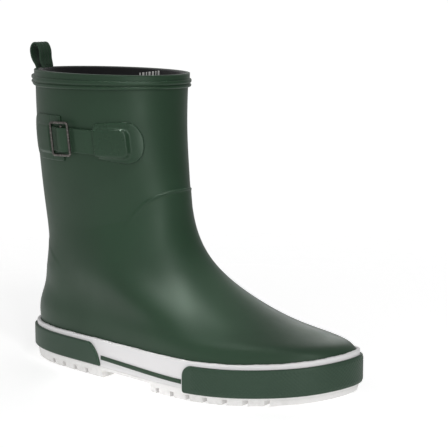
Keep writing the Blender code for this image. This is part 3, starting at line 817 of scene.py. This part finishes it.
def strap_lift(degrees):
    """Stand-off of the strap's underside: over the centre bar and under both side bars."""
    crown = BAR_STANDOFF + WIRE / 2 + GAP
    knots = [50, 73, 76, 80.5, 87.5, 90, 93, 96, 97.5, 99, 100.5, 102, 105, 108, 109.5, 128]
    lifts = [0.3, 0.3, 0.7, 1.1, 0.9, 0.4, 0.9, 2.7, 3.3, 3.4, 3.3, 2.7, 0.9, 0.4, 0.3, 0.3]
    fine = np.linspace(50, 128, 400)
    curve = np.interp(fine, knots, lifts)
    kernel = np.hanning(13)
    soft = np.convolve(np.pad(curve, 6, mode="edge"), kernel / kernel.sum(), mode="valid")
    return np.interp(degrees, fine, soft) * crown / 3.45


def make_strap(look):
    degrees = np.linspace(50.6, 128, 190)
    half, radius = STRAP_WIDTH / 2, 0.55 * MM
    flat, high = half - radius, STRAP_THICK - radius
    loop = []
    corners = ((flat, high), 0), ((-flat, high), 90), ((-flat, radius), 180), ((flat, radius), 270)
    for corner, start in corners:
        for step in (0, 22.5, 45, 67.5, 90):
            turn = math.radians(start + step)
            loop.append((corner[0] + radius * math.cos(turn), corner[1] + radius * math.sin(turn)))
        if start in (90, 270):
            continue
        for share in np.linspace(1, -1, 20)[1:-1]:
            groove = 0.14 * MM * math.exp(-((abs(share) - 0.80) / 0.035)**2)
            loop.append((share * flat, STRAP_THICK - groove) if start == 0 else (-share * flat, 0.0))
    heights, lifts = np.array(loop).T
    base = np.maximum(GAP, strap_lift(degrees))
    grid = on_shaft(degrees[:, None], strap_centre(degrees)[:, None] + heights, base[:, None] + lifts)
    sweep("strap_band", grid, look, False, slot="strap_rubber", replaces=["side_strap"])


def box_distance(x, y, centre, half, radius):
    """Distance outside a rounded box in a plane."""
    dx = np.abs(x - centre[0]) - half[0] + radius
    dy = np.abs(y - centre[1]) - half[1] + radius
    outside = np.hypot(np.clip(dx, 0, None), np.clip(dy, 0, None))
    return outside + np.minimum(np.maximum(dx, dy), 0.0) - radius


def make_front_patch(look):
    rear, middle, tip = arc_at(73.2), arc_at(51.5), arc_at(36.5)
    nose = middle - tip
    corner = 2.6 * MM
    columns = np.concatenate([tip + nose * (1 - np.cos(np.linspace(0, math.pi / 2, 34))),
                              np.linspace(middle, rear - corner, 34)[1:],
                              rear - corner * (1 - np.sin(np.linspace(0, math.pi / 2, 9)[1:]))])
    back = np.clip((columns - middle) / (rear - middle), 0, 1)
    top = (197.6 - 1.9 * back) * MM
    bottom = (166.2 + 3.3 * back) * MM
    centre, half = (top + bottom) / 2, (top - bottom) / 2
    half = half * oval(np.clip((middle - columns) / nose, 0, 1), 2.15)
    half = half - fillet(columns - rear + corner, corner)
    strap_tip = arc_at(50.6)

    def lift(along, height):
        middle_z = strap_centre(np.interp(along, ARC, ROUND))
        reach = (rear + 6 * MM - strap_tip) / 2
        away = box_distance(along, height - middle_z, (strap_tip + reach, 0.0),
                            (reach, STRAP_WIDTH / 2 - 0.3 * MM), 3.4 * MM)
        crown = 0.12 * MM * (1 - ((height - middle_z) / (STRAP_WIDTH / 2))**2)
        flare = 0.5 * MM * smooth(rear - 7 * MM, rear, along) * (1 - smooth(0.3 * MM, 2.6 * MM, away))
        return (OVER_STRAP + crown + flare) * (1 - smooth(0.1 * MM, 3.6 * MM, away))

    pad("patch_front", columns, (centre - half, centre + half), on_side, lift, look, 66,
        slot="front_patch_rubber", replaces=["front_strap_patch"])


def make_rear_patch(look):
    """Patch with a slot at its front edge, as one piece of three joined pads."""
    front, end = arc_at(100.5), arc_at(141.2)
    round_from, slot_end, strap_end = arc_at(129.5), arc_at(110.8), arc_at(128.2)
    tail, corner = end - round_from, 1.5 * MM
    columns = np.concatenate([front + corner * (1 - np.cos(np.linspace(0, math.pi / 2, 7))),
                              np.linspace(front + corner, slot_end, 20)[1:],
                              np.linspace(slot_end, round_from, 26)[1:],
                              round_from + tail * np.sin(np.linspace(0, math.pi / 2, 26)[1:])])
    half = 17.5 * MM * oval(np.clip((columns - round_from) / tail, 0, 1), 2.3)
    half = np.maximum(half - fillet(front + corner - columns, corner), 0.02 * MM)
    low, high = STRAP_Z + 0.6 * MM - half, STRAP_Z + 0.6 * MM + half
    middle, opening = (STRAP_Z + BUCKLE_Z) / 2, STRAP_WIDTH / 2 + 2.7 * MM
    slot_low, slot_high = middle - opening, middle + opening

    def lift(along, height):
        reach = (strap_end - slot_end + 8 * MM) / 2
        away = box_distance(along, height - STRAP_Z, (strap_end - reach, 0.0),
                            (reach, STRAP_WIDTH / 2 + 0.3 * MM), 2 * MM)
        raised = OVER_STRAP * (1 - smooth(-0.2 * MM, 2.4 * MM, away))
        return raised * smooth(slot_end - 1.0 * MM, slot_end + 0.6 * MM, along)

    border = [(columns[0], low[0])] + list(zip(columns, low)) + list(zip(columns, high))[::-1]
    border += [(columns[0], slot_high), (slot_end, slot_high), (slot_end, slot_low), (columns[0], slot_low)]
    cut = int(np.searchsorted(columns, slot_end - 1e-7))
    ahead = slice(0, cut + 1)
    parts = []
    for chosen, bottom, top, rows in ((columns[ahead], low[ahead], slot_low, 18),
                                      (columns[ahead], slot_high, high[ahead], 18),
                                      (columns[cut:], low[cut:], high[cut:], 66)):
        heights = bottom + (top - bottom) * eased(rows)[:, None]
        parts.append(pad_data(np.broadcast_to(chosen, heights.shape), heights, border, on_side, lift))
    points, faces = joined(parts)
    cleaned(piece("patch_rear", points, faces, look, slot="rear_patch_rubber", replaces=["rear_strap_patch"]))


def buckle_axes():
    """Pivot on the centre bar, and the directions along the bar, along the strap and outward."""
    def at(degrees, height):
        return Vector(on_shaft(degrees, height, BAR_STANDOFF))
    pivot = at(BUCKLE_ANGLE, BUCKLE_Z)
    up = (at(BUCKLE_ANGLE, BUCKLE_Z + 10 * MM) - at(BUCKLE_ANGLE, BUCKLE_Z - 10 * MM)).normalized()
    ahead = at(BUCKLE_ANGLE - math.degrees(0.02), BUCKLE_Z)
    out = (ahead - pivot).cross(up).normalized()
    return pivot, up, up.cross(out), out


def wire(name, path, sides, section, closed, look, **words):
    """Wire of a given section swept along a path, with sides = (across, outward) at each point."""
    rings = [[tuple(point + across * a + outward * b) for a, b in section]
             for point, (across, outward) in zip(path, sides)]
    sweep(name, rings, look, closed, **words)


def soft_square(wide, tall, power=3.2, count=20):
    """Closed section between a square and an oval."""
    def bent(value):
        return math.copysign(abs(value)**(2 / power), value)
    return [(wide / 2 * bent(math.cos(t)), tall / 2 * bent(math.sin(t))) for t in ring_angles(count)]


def make_buckle(looks):
    pivot, up, along, out = buckle_axes()
    half, tall, corner = BUCKLE_WIDTH / 2, BUCKLE_HEIGHT / 2, 1.7 * MM
    lift = FRAME_STANDOFF - BAR_STANDOFF

    def corner_point(sx, sz, radial):
        return pivot + along * sx * (half - corner) + up * sz * (tall - corner) + out * lift + radial * corner

    path, sides = [], []
    for sx, sz, start in ((1, 1, 0), (-1, 1, 90), (-1, -1, 180), (1, -1, 270)):
        for step in np.linspace(0, 90, 9):
            turn = math.radians(start + step)
            radial = along * math.cos(turn) + up * math.sin(turn)
            path.append(corner_point(sx, sz, radial))
            sides.append((radial, out))
        first, last = path[-1], corner_point(-sz, sx, radial)
        for share in np.linspace(0, 1, 8)[1:-1]:
            path.append(first.lerp(last, share))
            sides.append((radial, out))
    wire("buckle_wire", path, sides, soft_square(1.75 * MM, 1.6 * MM), True, looks["buckle"],
         body="buckle", slot="buckle_metal", replaces=["buckle_frame"])
    reach = tall - WIRE - GAP
    bar_path = [pivot + up * reach * share for share in np.linspace(-1, 1, 16)]
    wire("buckle_pin", bar_path, [(along, out)] * 16, soft_square(1.7 * MM, 1.7 * MM, 2.0, 16), False,
         looks["bar"], body="buckle", slot="bar_metal", replaces=["buckle_bar"])


# ---------------------------------------------------------------- pull loop

def loop_path():
    """Centre line of the loop in the plane across the rim: tail outside, loop, end inside."""
    tail = rim_rows([13.6, 10.0, 7.0, 4.4, 2.4], [math.pi])[0][:, 0]
    rim = rim_rows([1.5], [math.pi])[0][0, 0]
    pivot = Vector((rim[0] + 1.3 * MM, LOOP_Y, rim[2]))
    lift = BAND_FACE + GAP + LOOP_THICK / 2
    knots = [(p[0] - lift, p[2]) for p in tail]
    lean = Matrix.Rotation(-LOOP_LEAN, 3, "Y")
    for x, z in ((-3.7, 1.2), (-3.6, 4.0), (-4.3, 8.5), (-4.95, 13.0), (-4.3, 17.4), (-2.2, 20.3),
                 (0.3, 21.2), (2.7, 20.2), (4.2, 17.0), (4.4, 13.0), (3.5, 8.5), (2.9, 4.6), (2.9, 1.6)):
        plain = Vector((x * MM, 0, z * MM))
        point = plain.lerp(lean @ plain, float(smooth(0.0, 9.0, z)))
        knots.append((pivot.x + point.x, pivot.z + point.z))
    knots.append((pivot.x + 2.75 * MM, pivot.z - 0.9 * MM))
    knots = np.array(knots)
    marks = run_along(knots)
    at = np.linspace(0, marks[-1], 150)
    return np.stack([spline(marks, knots[:, i], at) for i in (0, 1)], axis=1), pivot


def blend_loop(made):
    """Bakes the piece's placement into its mesh points."""
    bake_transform(made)


def make_loop(look, thread):
    path, pivot = loop_path()
    run = np.gradient(path, axis=0)
    run = run / np.linalg.norm(run, axis=1, keepdims=True)
    side = np.stack([-run[:, 1], run[:, 0]], axis=1)
    half = LOOP_WIDTH / 2
    across = np.linspace(-1, 1, 73)
    reach = np.abs(across)
    ribs = 0.46 * (0.5 - 0.5 * np.cos(2 * math.pi * 4 * (across * 0.5 + 0.5)))
    raised = 0.38 + ribs * (1 - smooth(0.80, 0.86, reach)) + 0.42 * smooth(0.82, 0.9, reach)
    edge = np.sqrt(np.clip(1 - np.clip((reach - 0.93) / 0.07, 0, 1)**2, 0, 1))
    section = [(y * half, t * MM) for y, t in zip(across, raised * edge)]
    section += [(y * half, -0.66 * MM * e) for y, e in zip(across[::-1][1:-1], edge[::-1][1:-1])]
    rings = []
    for (x, z), (nx, nz) in zip(path, side):
        low = float(smooth(pivot.z + 6 * MM, pivot.z - 1 * MM, z))
        rings.append([(x + nx * t + back_curve(y) * low, LOOP_Y + y, z + nz * t) for y, t in section])
    made = sweep("loop_strap", rings, look, False, body=None, slot="loop_webbing",
                 replaces=["pull_loop", "pull_loop_anchor"])
    blend_loop(made)
    make_loop_stitches(path, side, pivot, thread)


def back_curve(offset):
    """How far the back of the rim curves forward at a distance across from the loop's middle."""
    half_wide, half_long = 48.5 * MM, 65.5 * MM
    def depth(y):
        return half_long * (1 - math.sqrt(max(0.0, 1 - (y / half_wide)**2)))
    return depth(LOOP_Y + offset - CENTRE_Y) - depth(LOOP_Y - CENTRE_Y)


def make_loop_stitches(path, side, pivot, look):
    """A row of stitches across the foot of the loop, just above the rim."""
    target = np.argmin(np.abs(path[100:, 1] - (pivot.z + 3.4 * MM))) + 100
    (x, z), (nx, nz) = path[target], side[target]
    parts = []
    for i in range(7):
        rings = []
        for share in np.linspace(-1, 1, 9):
            bow = math.sqrt(max(0.0, 1 - share * share))
            radius = 0.24 * MM * (0.35 + 0.65 * bow)
            lift = 0.62 * MM + 0.16 * MM * bow
            y = LOOP_Y + (i - 3) * 1.75 * MM + share * 0.62 * MM
            ring = []
            for turn in ring_angles(8):
                a, b = radius * math.cos(turn), radius * math.sin(turn)
                ring.append((x + nx * (lift + a) - nz * b, y, z + nz * (lift + a) + nx * b))
            rings.append(ring)
        parts.append(sweep_data(rings, False))
    points, faces = joined(parts)
    made = piece("loop_stitches", points, faces, look, body=None, slot="loop_webbing")
    blend_loop(made)


# ---------------------------------------------------------------- the sole

THETA = np.linspace(-math.pi, math.pi, 2881)
EDGE_ARC = run_along(outline(THETA))


def edge_arc(degrees):
    """Length along the sole's outline, from the heel round the inner side."""
    turned = (np.radians(degrees) + math.pi) % (2 * math.pi) - math.pi
    return np.interp(turned, THETA, EDGE_ARC)


def on_edge(along, height, lift):
    """Points on the foxing's outer face: height above the sprung ground line, moved outward by lift."""
    full = EDGE_ARC[-1]
    theta = np.interp(np.mod(along, full), EDGE_ARC, THETA)
    base = outline(theta)
    ahead = outline(theta, 1 * MM)
    point = base + (ahead - base) * (lift / MM)[..., None]
    return np.concatenate([point, (height + spring(base[..., 0]))[..., None]], axis=-1)


def band_columns(start, end, step, ends, corner):
    """Columns along the outline between two arc lengths, closer together in the rounded ends."""
    middle = np.linspace(start + corner, end - corner, max(8, int((end - start - 2 * corner) / step)))
    turn = np.linspace(0, math.pi / 2, ends)
    left = start + corner * (1 - np.cos(turn))
    right = end - corner * (1 - np.cos(turn))
    return np.concatenate([left[:-1], middle, right[::-1][1:]])


def corner_drop(columns, start, end, radius):
    """How much a rounded corner takes off the height at each column."""
    return fillet(radius - np.minimum(columns - start, end - columns), radius)


def make_bands(looks):
    start, end = edge_arc(-74.4), edge_arc(74.4)
    middle, half_arc = (start + end) / 2, (end - start) / 2
    columns = band_columns(start, end, 0.46 * MM, 20, 8 * MM)
    high = 27.2 * MM - corner_drop(columns, start, end, 8.0 * MM)
    low = 6.4 * MM + corner_drop(columns, start, end, 2.0 * MM)

    def twill(along, height):
        pitch, depth = 2.9 * MM, 0.50 * MM
        weave = np.sin(math.pi * (along + height) / pitch) * np.sin(math.pi * (along - height) / pitch)
        inside = smooth(8.0 * MM, 9.0 * MM, height) * (1 - smooth(24.6 * MM, 25.8 * MM, height))
        ends = 1 - smooth(half_arc - 9 * MM, half_arc - 5 * MM, np.abs(along - middle))
        return depth * np.abs(weave)**0.7 * inside * ends

    pad("band_toe", columns, (low, high), on_edge, twill, looks["toe_band"], 46, BAND_THICK, BAND_EDGE,
        slot="toe_band_rubber", replaces=["toe_band"])
    start, end = edge_arc(109.6), EDGE_ARC[-1] + edge_arc(-109.6)
    columns = band_columns(start, end, 0.9 * MM, 26, 13 * MM)
    near = np.minimum(columns - start, end - columns)
    high = 10 * MM + 17 * MM * oval(1 - np.clip(near / (13 * MM), 0, 1), 1.6)
    low = 9.8 * MM + corner_drop(columns, start, end, 0.8 * MM)
    pad("band_heel", columns, (low, high), on_edge, no_lift, looks["heel_band"], 40, BAND_THICK, BAND_EDGE,
        slot="heel_band_rubber", replaces=["heel_band"])
    for name, node, first, last in (("stripe_outer", "stripe_lateral", 74.9, 109.4),
                                    ("stripe_inner", "stripe_medial", 250.6, 285.1)):
        columns = np.linspace(*sorted((edge_arc(first), edge_arc(last))), 90)
        low = 13.6 * MM - 0.028 * on_edge(columns, np.zeros(90), np.zeros(90))[:, 0]
        pad(name, columns, (low, low + 3.3 * MM), on_edge, no_lift, looks["stripe"], 12, 0.45 * MM, 0.4 * MM,
            slot="stripe_rubber", replaces=[node])


def make_foxing(look):
    angles = ring_angles(720)
    x = outline(angles)[:, 0]
    wave = 0.10 * np.sin(angles * 23 + 0.7) + 0.07 * np.sin(angles * 57 + 2.1) + 0.05 * np.sin(angles * 131)
    top = foxing_top(x) + wave * MM
    low = OUTSOLE_EDGE + 0.06 * MM + spring(x)
    rings = [(inset, low + up * MM) for inset, up in ((0.35, 0.0), (0.08, 0.12), (0.0, 0.45))]
    rings += [(0.0, low + (top - low) * share) for share in np.linspace(0.04, 0.94, 9)]
    rings += [(inset, top - drop * MM) for inset, drop in (
        (0.02, 0.95), (0.10, 0.55), (0.32, 0.22), (0.70, 0.03),
        (1.3, 0.0), (2.2, 0.02), (2.62, 0.18), (2.7, 0.6))]
    rings.append((2.7, low + 0.2 * MM))
    sections = [np.column_stack([outline(angles, -inset * MM), z]) for inset, z in rings]
    sweep("foxing_strip", np.stack(sections, axis=1), look, True, slot="foxing_rubber", replaces=["foxing"])


def sole_block(low_x, high_x, bottom, top, steps):
    """Solid across the sole between two x, with side walls that lean in towards the ground."""
    half, chamfer = LENGTH / 2, 0.45 * MM
    first = math.acos(np.clip(high_x / half, -1, 1))
    last = math.acos(np.clip(low_x / half, -1, 1))
    sections = []
    for turn in first + (last - first) * eased(steps):
        tip = turn < 0.01 or turn > math.pi - 0.01
        end = min(turn - first, last - turn) * half * max(0.25, math.sin(turn))
        inward = 0.0 if tip else chamfer * (1 - min(1.0, end / chamfer))
        x = half * math.cos(turn)
        low, high = bottom(x) + inward, top(x)
        heights = np.array([low, low + chamfer, high])
        lean = SOLE_TAPER * np.clip(1 - (heights - spring(x)) / OUTSOLE_EDGE, 0, 1) + (chamfer, 0, 0)
        ring = []
        for sign in (1, -1):
            side = [(*outline(np.array([sign * turn]), -inset)[0], z) for inset, z in zip(lean, heights)]
            ring += side[::sign]
        if tip:
            ring = [(x, y + (-0.3 if j < 3 else 0.3) * MM, z) for j, (x, y, z) in enumerate(ring)]
        sections.append(ring)
    return sweep_data(sections, False)


def lug_marks(first, last, grooves, pitch, count):
    """Ends of the lugs along the sole: the block's ends and both edges of every groove, in mm."""
    return [first] + [(edge + pitch * i) * MM for i in range(count) for edge in grooves] + [last]


def make_outsole(look):
    half = LENGTH / 2
    parts = [sole_block(-half, half, plate_bottom, lambda x: OUTSOLE_EDGE + spring(x), 260)]
    for marks in (lug_marks(-half, -48 * MM, (-108.1, -104.9), 13.4, 4),
                  lug_marks(6 * MM, half, (11.2, 14.8), 14.6, 7)):
        for low_x, high_x in zip(marks[0::2], marks[1::2]):
            steps = 70 if high_x - low_x > 30 * MM else 22
            parts.append(sole_block(low_x, high_x, spring, lambda x: plate_bottom(x) + 0.6 * MM, steps))
    points, faces = joined(parts + toe_teeth())
    made = piece("tread", points, faces, look, slot="sole_rubber", replaces=["outsole"], flat=True)
    bevel = made.modifiers.new("edge", "BEVEL")
    bevel.width = 0.25 * MM
    bevel.segments = 2
    bevel.limit_method = "ANGLE"
    bevel.angle_limit = math.radians(40)


def plate_bottom(x):
    """Underside of the sole plate between the lugs."""
    waist = smooth(-49.5 * MM, -48 * MM, x) * (1 - smooth(6 * MM, 7.5 * MM, x))
    return TREAD_DEPTH + (WAIST_HEIGHT - TREAD_DEPTH) * waist + spring(x)


def toe_teeth():
    """Fine teeth along the lower edge of the toe."""
    parts = []
    for arc in np.arange(edge_arc(-44), edge_arc(44), 2.3 * MM):
        rings = []
        for along in (arc, arc + 1.35 * MM):
            section = np.array([(0.5, -1.5), (0.5, -2.6), (4.0, -2.6), (4.0, -0.75)]) * MM
            rings.append(on_edge(np.full(4, along), section[:, 0], section[:, 1]))
        parts.append(sweep_data(rings, False))
    return parts


def make_insole(look):
    """Loose insole: thin at the middle, cupped up a little along its border."""
    inset = -(UPPER_INSET + LAYER_LOW + LINING_THICK + GAP)
    shares = np.linspace(0, 1, 41)
    tops, unders = [], []
    for t in np.linspace(0, math.pi, 130):
        a, b = outline(np.array([t, 2 * math.pi - t]), inset)
        if math.dist(a, b) < 1e-4:
            a, b = a + np.array([0, -0.4 * MM]), b + np.array([0, 0.4 * MM])
        line = a + (b - a) * shares[:, None]
        rest = board_bottom(line[:, 0]) + 2 * MM + GAP
        border = np.minimum(shares, 1 - shares) * math.dist(a, b)
        ends = min(t, math.pi - t) * LENGTH / 2 * 0.6
        rim = 1 - smooth(0, 11 * MM, np.minimum(border, ends))
        edge = rounded_edge(np.minimum(border, ends), 1.2 * MM)
        tops.append(np.column_stack([line, rest + 4 * MM - 1.5 * MM * (1 - rim) - 0.9 * MM * (1 - edge)]))
        unders.append(np.column_stack([line, rest]))
    tops, unders = np.array(tops), np.array(unders)
    uv = np.concatenate([tops[..., :2].reshape(-1, 2)] * 2)
    shell("insole_pad", tops, unders, look, body="insole", slot="insole_foam", replaces=["insole"], uv=uv)


# ---------------------------------------------------------------- light, floor and camera

def softbox(name, towards, distance, width, height, power, target, beam=180):
    """Area light at a distance from the target in a direction, facing it."""
    light = bpy.data.lights.new(name, "AREA")
    light.shape = "RECTANGLE"
    light.size, light.size_y, light.energy = width, height, power
    light.spread = math.radians(beam)
    made = bpy.data.objects.new(name, light)
    bpy.context.scene.collection.objects.link(made)
    direction = Vector(towards).normalized()
    made.location = Vector(target) + direction * distance
    made.rotation_euler = direction.to_track_quat("Z", "Y").to_euler()


def make_floor():
    """Pale floor that fades into the white surround away from the boot."""
    made, tree, shader = new_look("studio_floor")
    place = object_place(tree)
    cloud = noise(tree, place, 3.0, 2.0)
    away = add(tree, "ShaderNodeVectorMath", {0: place}, operation="LENGTH").outputs["Value"]
    connect(tree, shader, {
        "Base Color": blend_colours(tree, cloud, (0.93, 0.93, 0.93, 1.0), (0.95, 0.95, 0.95, 1.0)),
        "Roughness": 0.75,
        "Specular IOR Level": 0.1,
        "Emission Color": (1.0, 1.0, 1.0, 1.0),
        "Emission Strength": 0.45,
        "Alpha": spread(tree, away, 0.34, 0.75, 1.0, 0.0),
    })
    count = 64
    rings = [(radius * math.cos(t), radius * math.sin(t), -0.05 * MM)
             for radius in (0.3, 0.8) for t in ring_angles(count)]
    faces = [tuple(range(count))]
    faces += [(i, (i + 1) % count, count + (i + 1) % count, count + i) for i in range(count)]
    floor = piece("floor", rings, faces, made, body=None)


def make_world():
    """Even white surround, dimmer on the side where the second boot of the pair would stand."""
    world = bpy.data.worlds.new("studio")
    bpy.context.scene.world = world
    world.use_nodes = True
    tree = world.node_tree
    toward = add(tree, "ShaderNodeTexCoord").outputs["Generated"]
    side = add(tree, "ShaderNodeVectorMath", {0: toward, 1: (0.90, 0.42, -0.10)}, operation="DOT_PRODUCT")
    dim = spread(tree, side.outputs["Value"], 0.25, 0.95, 0.57, 0.18)
    ray = add(tree, "ShaderNodeLightPath").outputs["Is Camera Ray"]
    rest = number(tree, "MULTIPLY", dim, number(tree, "SUBTRACT", 1.0, ray))
    strength = number(tree, "ADD", rest, number(tree, "MULTIPLY", ray, 1.02))
    connect(tree, tree.nodes["Background"], {"Strength": strength, "Color": (1.0, 1.0, 1.0, 1.0)})


def make_lights():
    softbox("instep_box", (0.12, -0.23, 0.97), 0.5, 0.13, 0.12, 0.024, (0.008, -0.029, 0.083), 10)
    softbox("upper_band_box", (0.62, -0.36, 0.70), 1.1, 0.12, 0.34, 1.5, (0.003, -0.017, 0.093))
    softbox("lower_band_box", (0.70, -0.66, 0.13), 1.2, 0.08, 0.50, 2.4, (-0.006, -0.017, 0.118))
    softbox("toe_box", (-0.39, 0.87, 0.30), 0.9, 0.34, 0.10, 0.0055, (0.112, 0.012, 0.046), 10)


def make_camera():
    turn, lift, away = math.radians(36), math.radians(8.75), 1.065
    target = Vector((0.0, 0.004, 0.130))
    back = Vector((math.sin(turn) * math.cos(lift), -math.cos(turn) * math.cos(lift), math.sin(lift)))
    ahead = -back
    right = ahead.cross(Vector((0, 0, 1))).normalized()
    up = right.cross(ahead)
    yaw, pitch = math.radians(-1.58), math.radians(-0.61)
    aim = ahead * math.cos(yaw) - right * math.sin(yaw)
    aim = (aim * math.cos(pitch) + up * math.sin(pitch)).normalized()
    right = aim.cross(Vector((0, 0, 1))).normalized()
    up = right.cross(aim)
    data = bpy.data.cameras.new("camera")
    data.lens = 112.5
    data.sensor_width = 36
    data.clip_start, data.clip_end = 0.05, 20
    made = bpy.data.objects.new("camera", data)
    bpy.context.scene.collection.objects.link(made)
    facing = Matrix((right, up, -aim)).transposed().to_4x4()
    made.matrix_world = Matrix.Translation(target + back * away) @ facing
    bpy.context.scene.camera = made


def carried_looks():
    """Looks for the CAD pieces inside the sole."""
    for node, look in (("sole_filler", plain_grain("filler_sponge", (0.35, 0.34, 0.32), 0.85, 700, 1e-4)),
                       ("heel_filler", plain_grain("heel_sponge", (0.16, 0.15, 0.14), 0.85, 600, 1e-4)),
                       ("insole_board", plain_grain("board_fibre", (0.42, 0.30, 0.18), 0.85, 240, 6e-5)),
                       ("shank", plain_grain("shank_steel", (0.55, 0.55, 0.56), 0.35, 900, 2e-5, 0.1, 1.0))):
        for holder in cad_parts[node].material_slots:
            holder.material = look


def main():
    bpy.context.scene.view_settings.view_transform = "Standard"
    make_camera()
    green = (0.0150, 0.0385, 0.0195)
    make_upper(rubber("upper_satin", green, 0.44))
    make_layers()
    make_lining(textile("lining_black", (0.011, 0.011, 0.012), 1.3 * MM, 1.5e-4),
                textile("facing_black", (0.014, 0.014, 0.015), 0.9 * MM, 1.0e-4, 0.85),
                plain_grain("print_white", (0.62, 0.62, 0.60), 0.6, 1500, 2e-5, 0.1))
    make_collar({"collar": rubber("collar_satin", green, 0.42), "trim": rubber("ridge_satin", green, 0.40),
                 "bead": rubber("bead_satin", (0.018, 0.043, 0.023), 0.36)})
    make_strap(rubber("strap_satin", (0.0165, 0.042, 0.0215), 0.46))
    make_front_patch(rubber("patch_satin", (0.0165, 0.041, 0.0215), 0.28))
    make_rear_patch(rubber("rear_patch_satin", green, 0.42))
    make_buckle({"buckle": gunmetal("buckle_gunmetal", (0.16, 0.15, 0.14), 0.36),
                 "bar": gunmetal("bar_gunmetal", (0.15, 0.14, 0.13), 0.38)})
    make_loop(rubber("loop_ribbed", (0.0165, 0.041, 0.0215), 0.5),
              rubber("stitch_thread", (0.012, 0.03, 0.016), 0.7))
    make_bands({"toe_band": rubber("toe_band_rubber", (0.0225, 0.047, 0.029), 0.46, 0.06),
                "heel_band": rubber("heel_band_rubber", (0.0255, 0.051, 0.0325), 0.52, 0.06),
                "stripe": rubber("stripe_green", (0.018, 0.042, 0.023), 0.55, 0.05)})
    make_foxing(white_rubber("foxing_white", (0.755, 0.745, 0.75), 0.5))
    make_outsole(white_rubber("tread_white", (0.80, 0.79, 0.78), 0.55, 0.5))
    make_insole(textile("insole_cloth", (0.014, 0.014, 0.016), 1.6 * MM, 1.5e-4))
    carried_looks()
    make_floor()
    make_world()
    make_lights()


main()
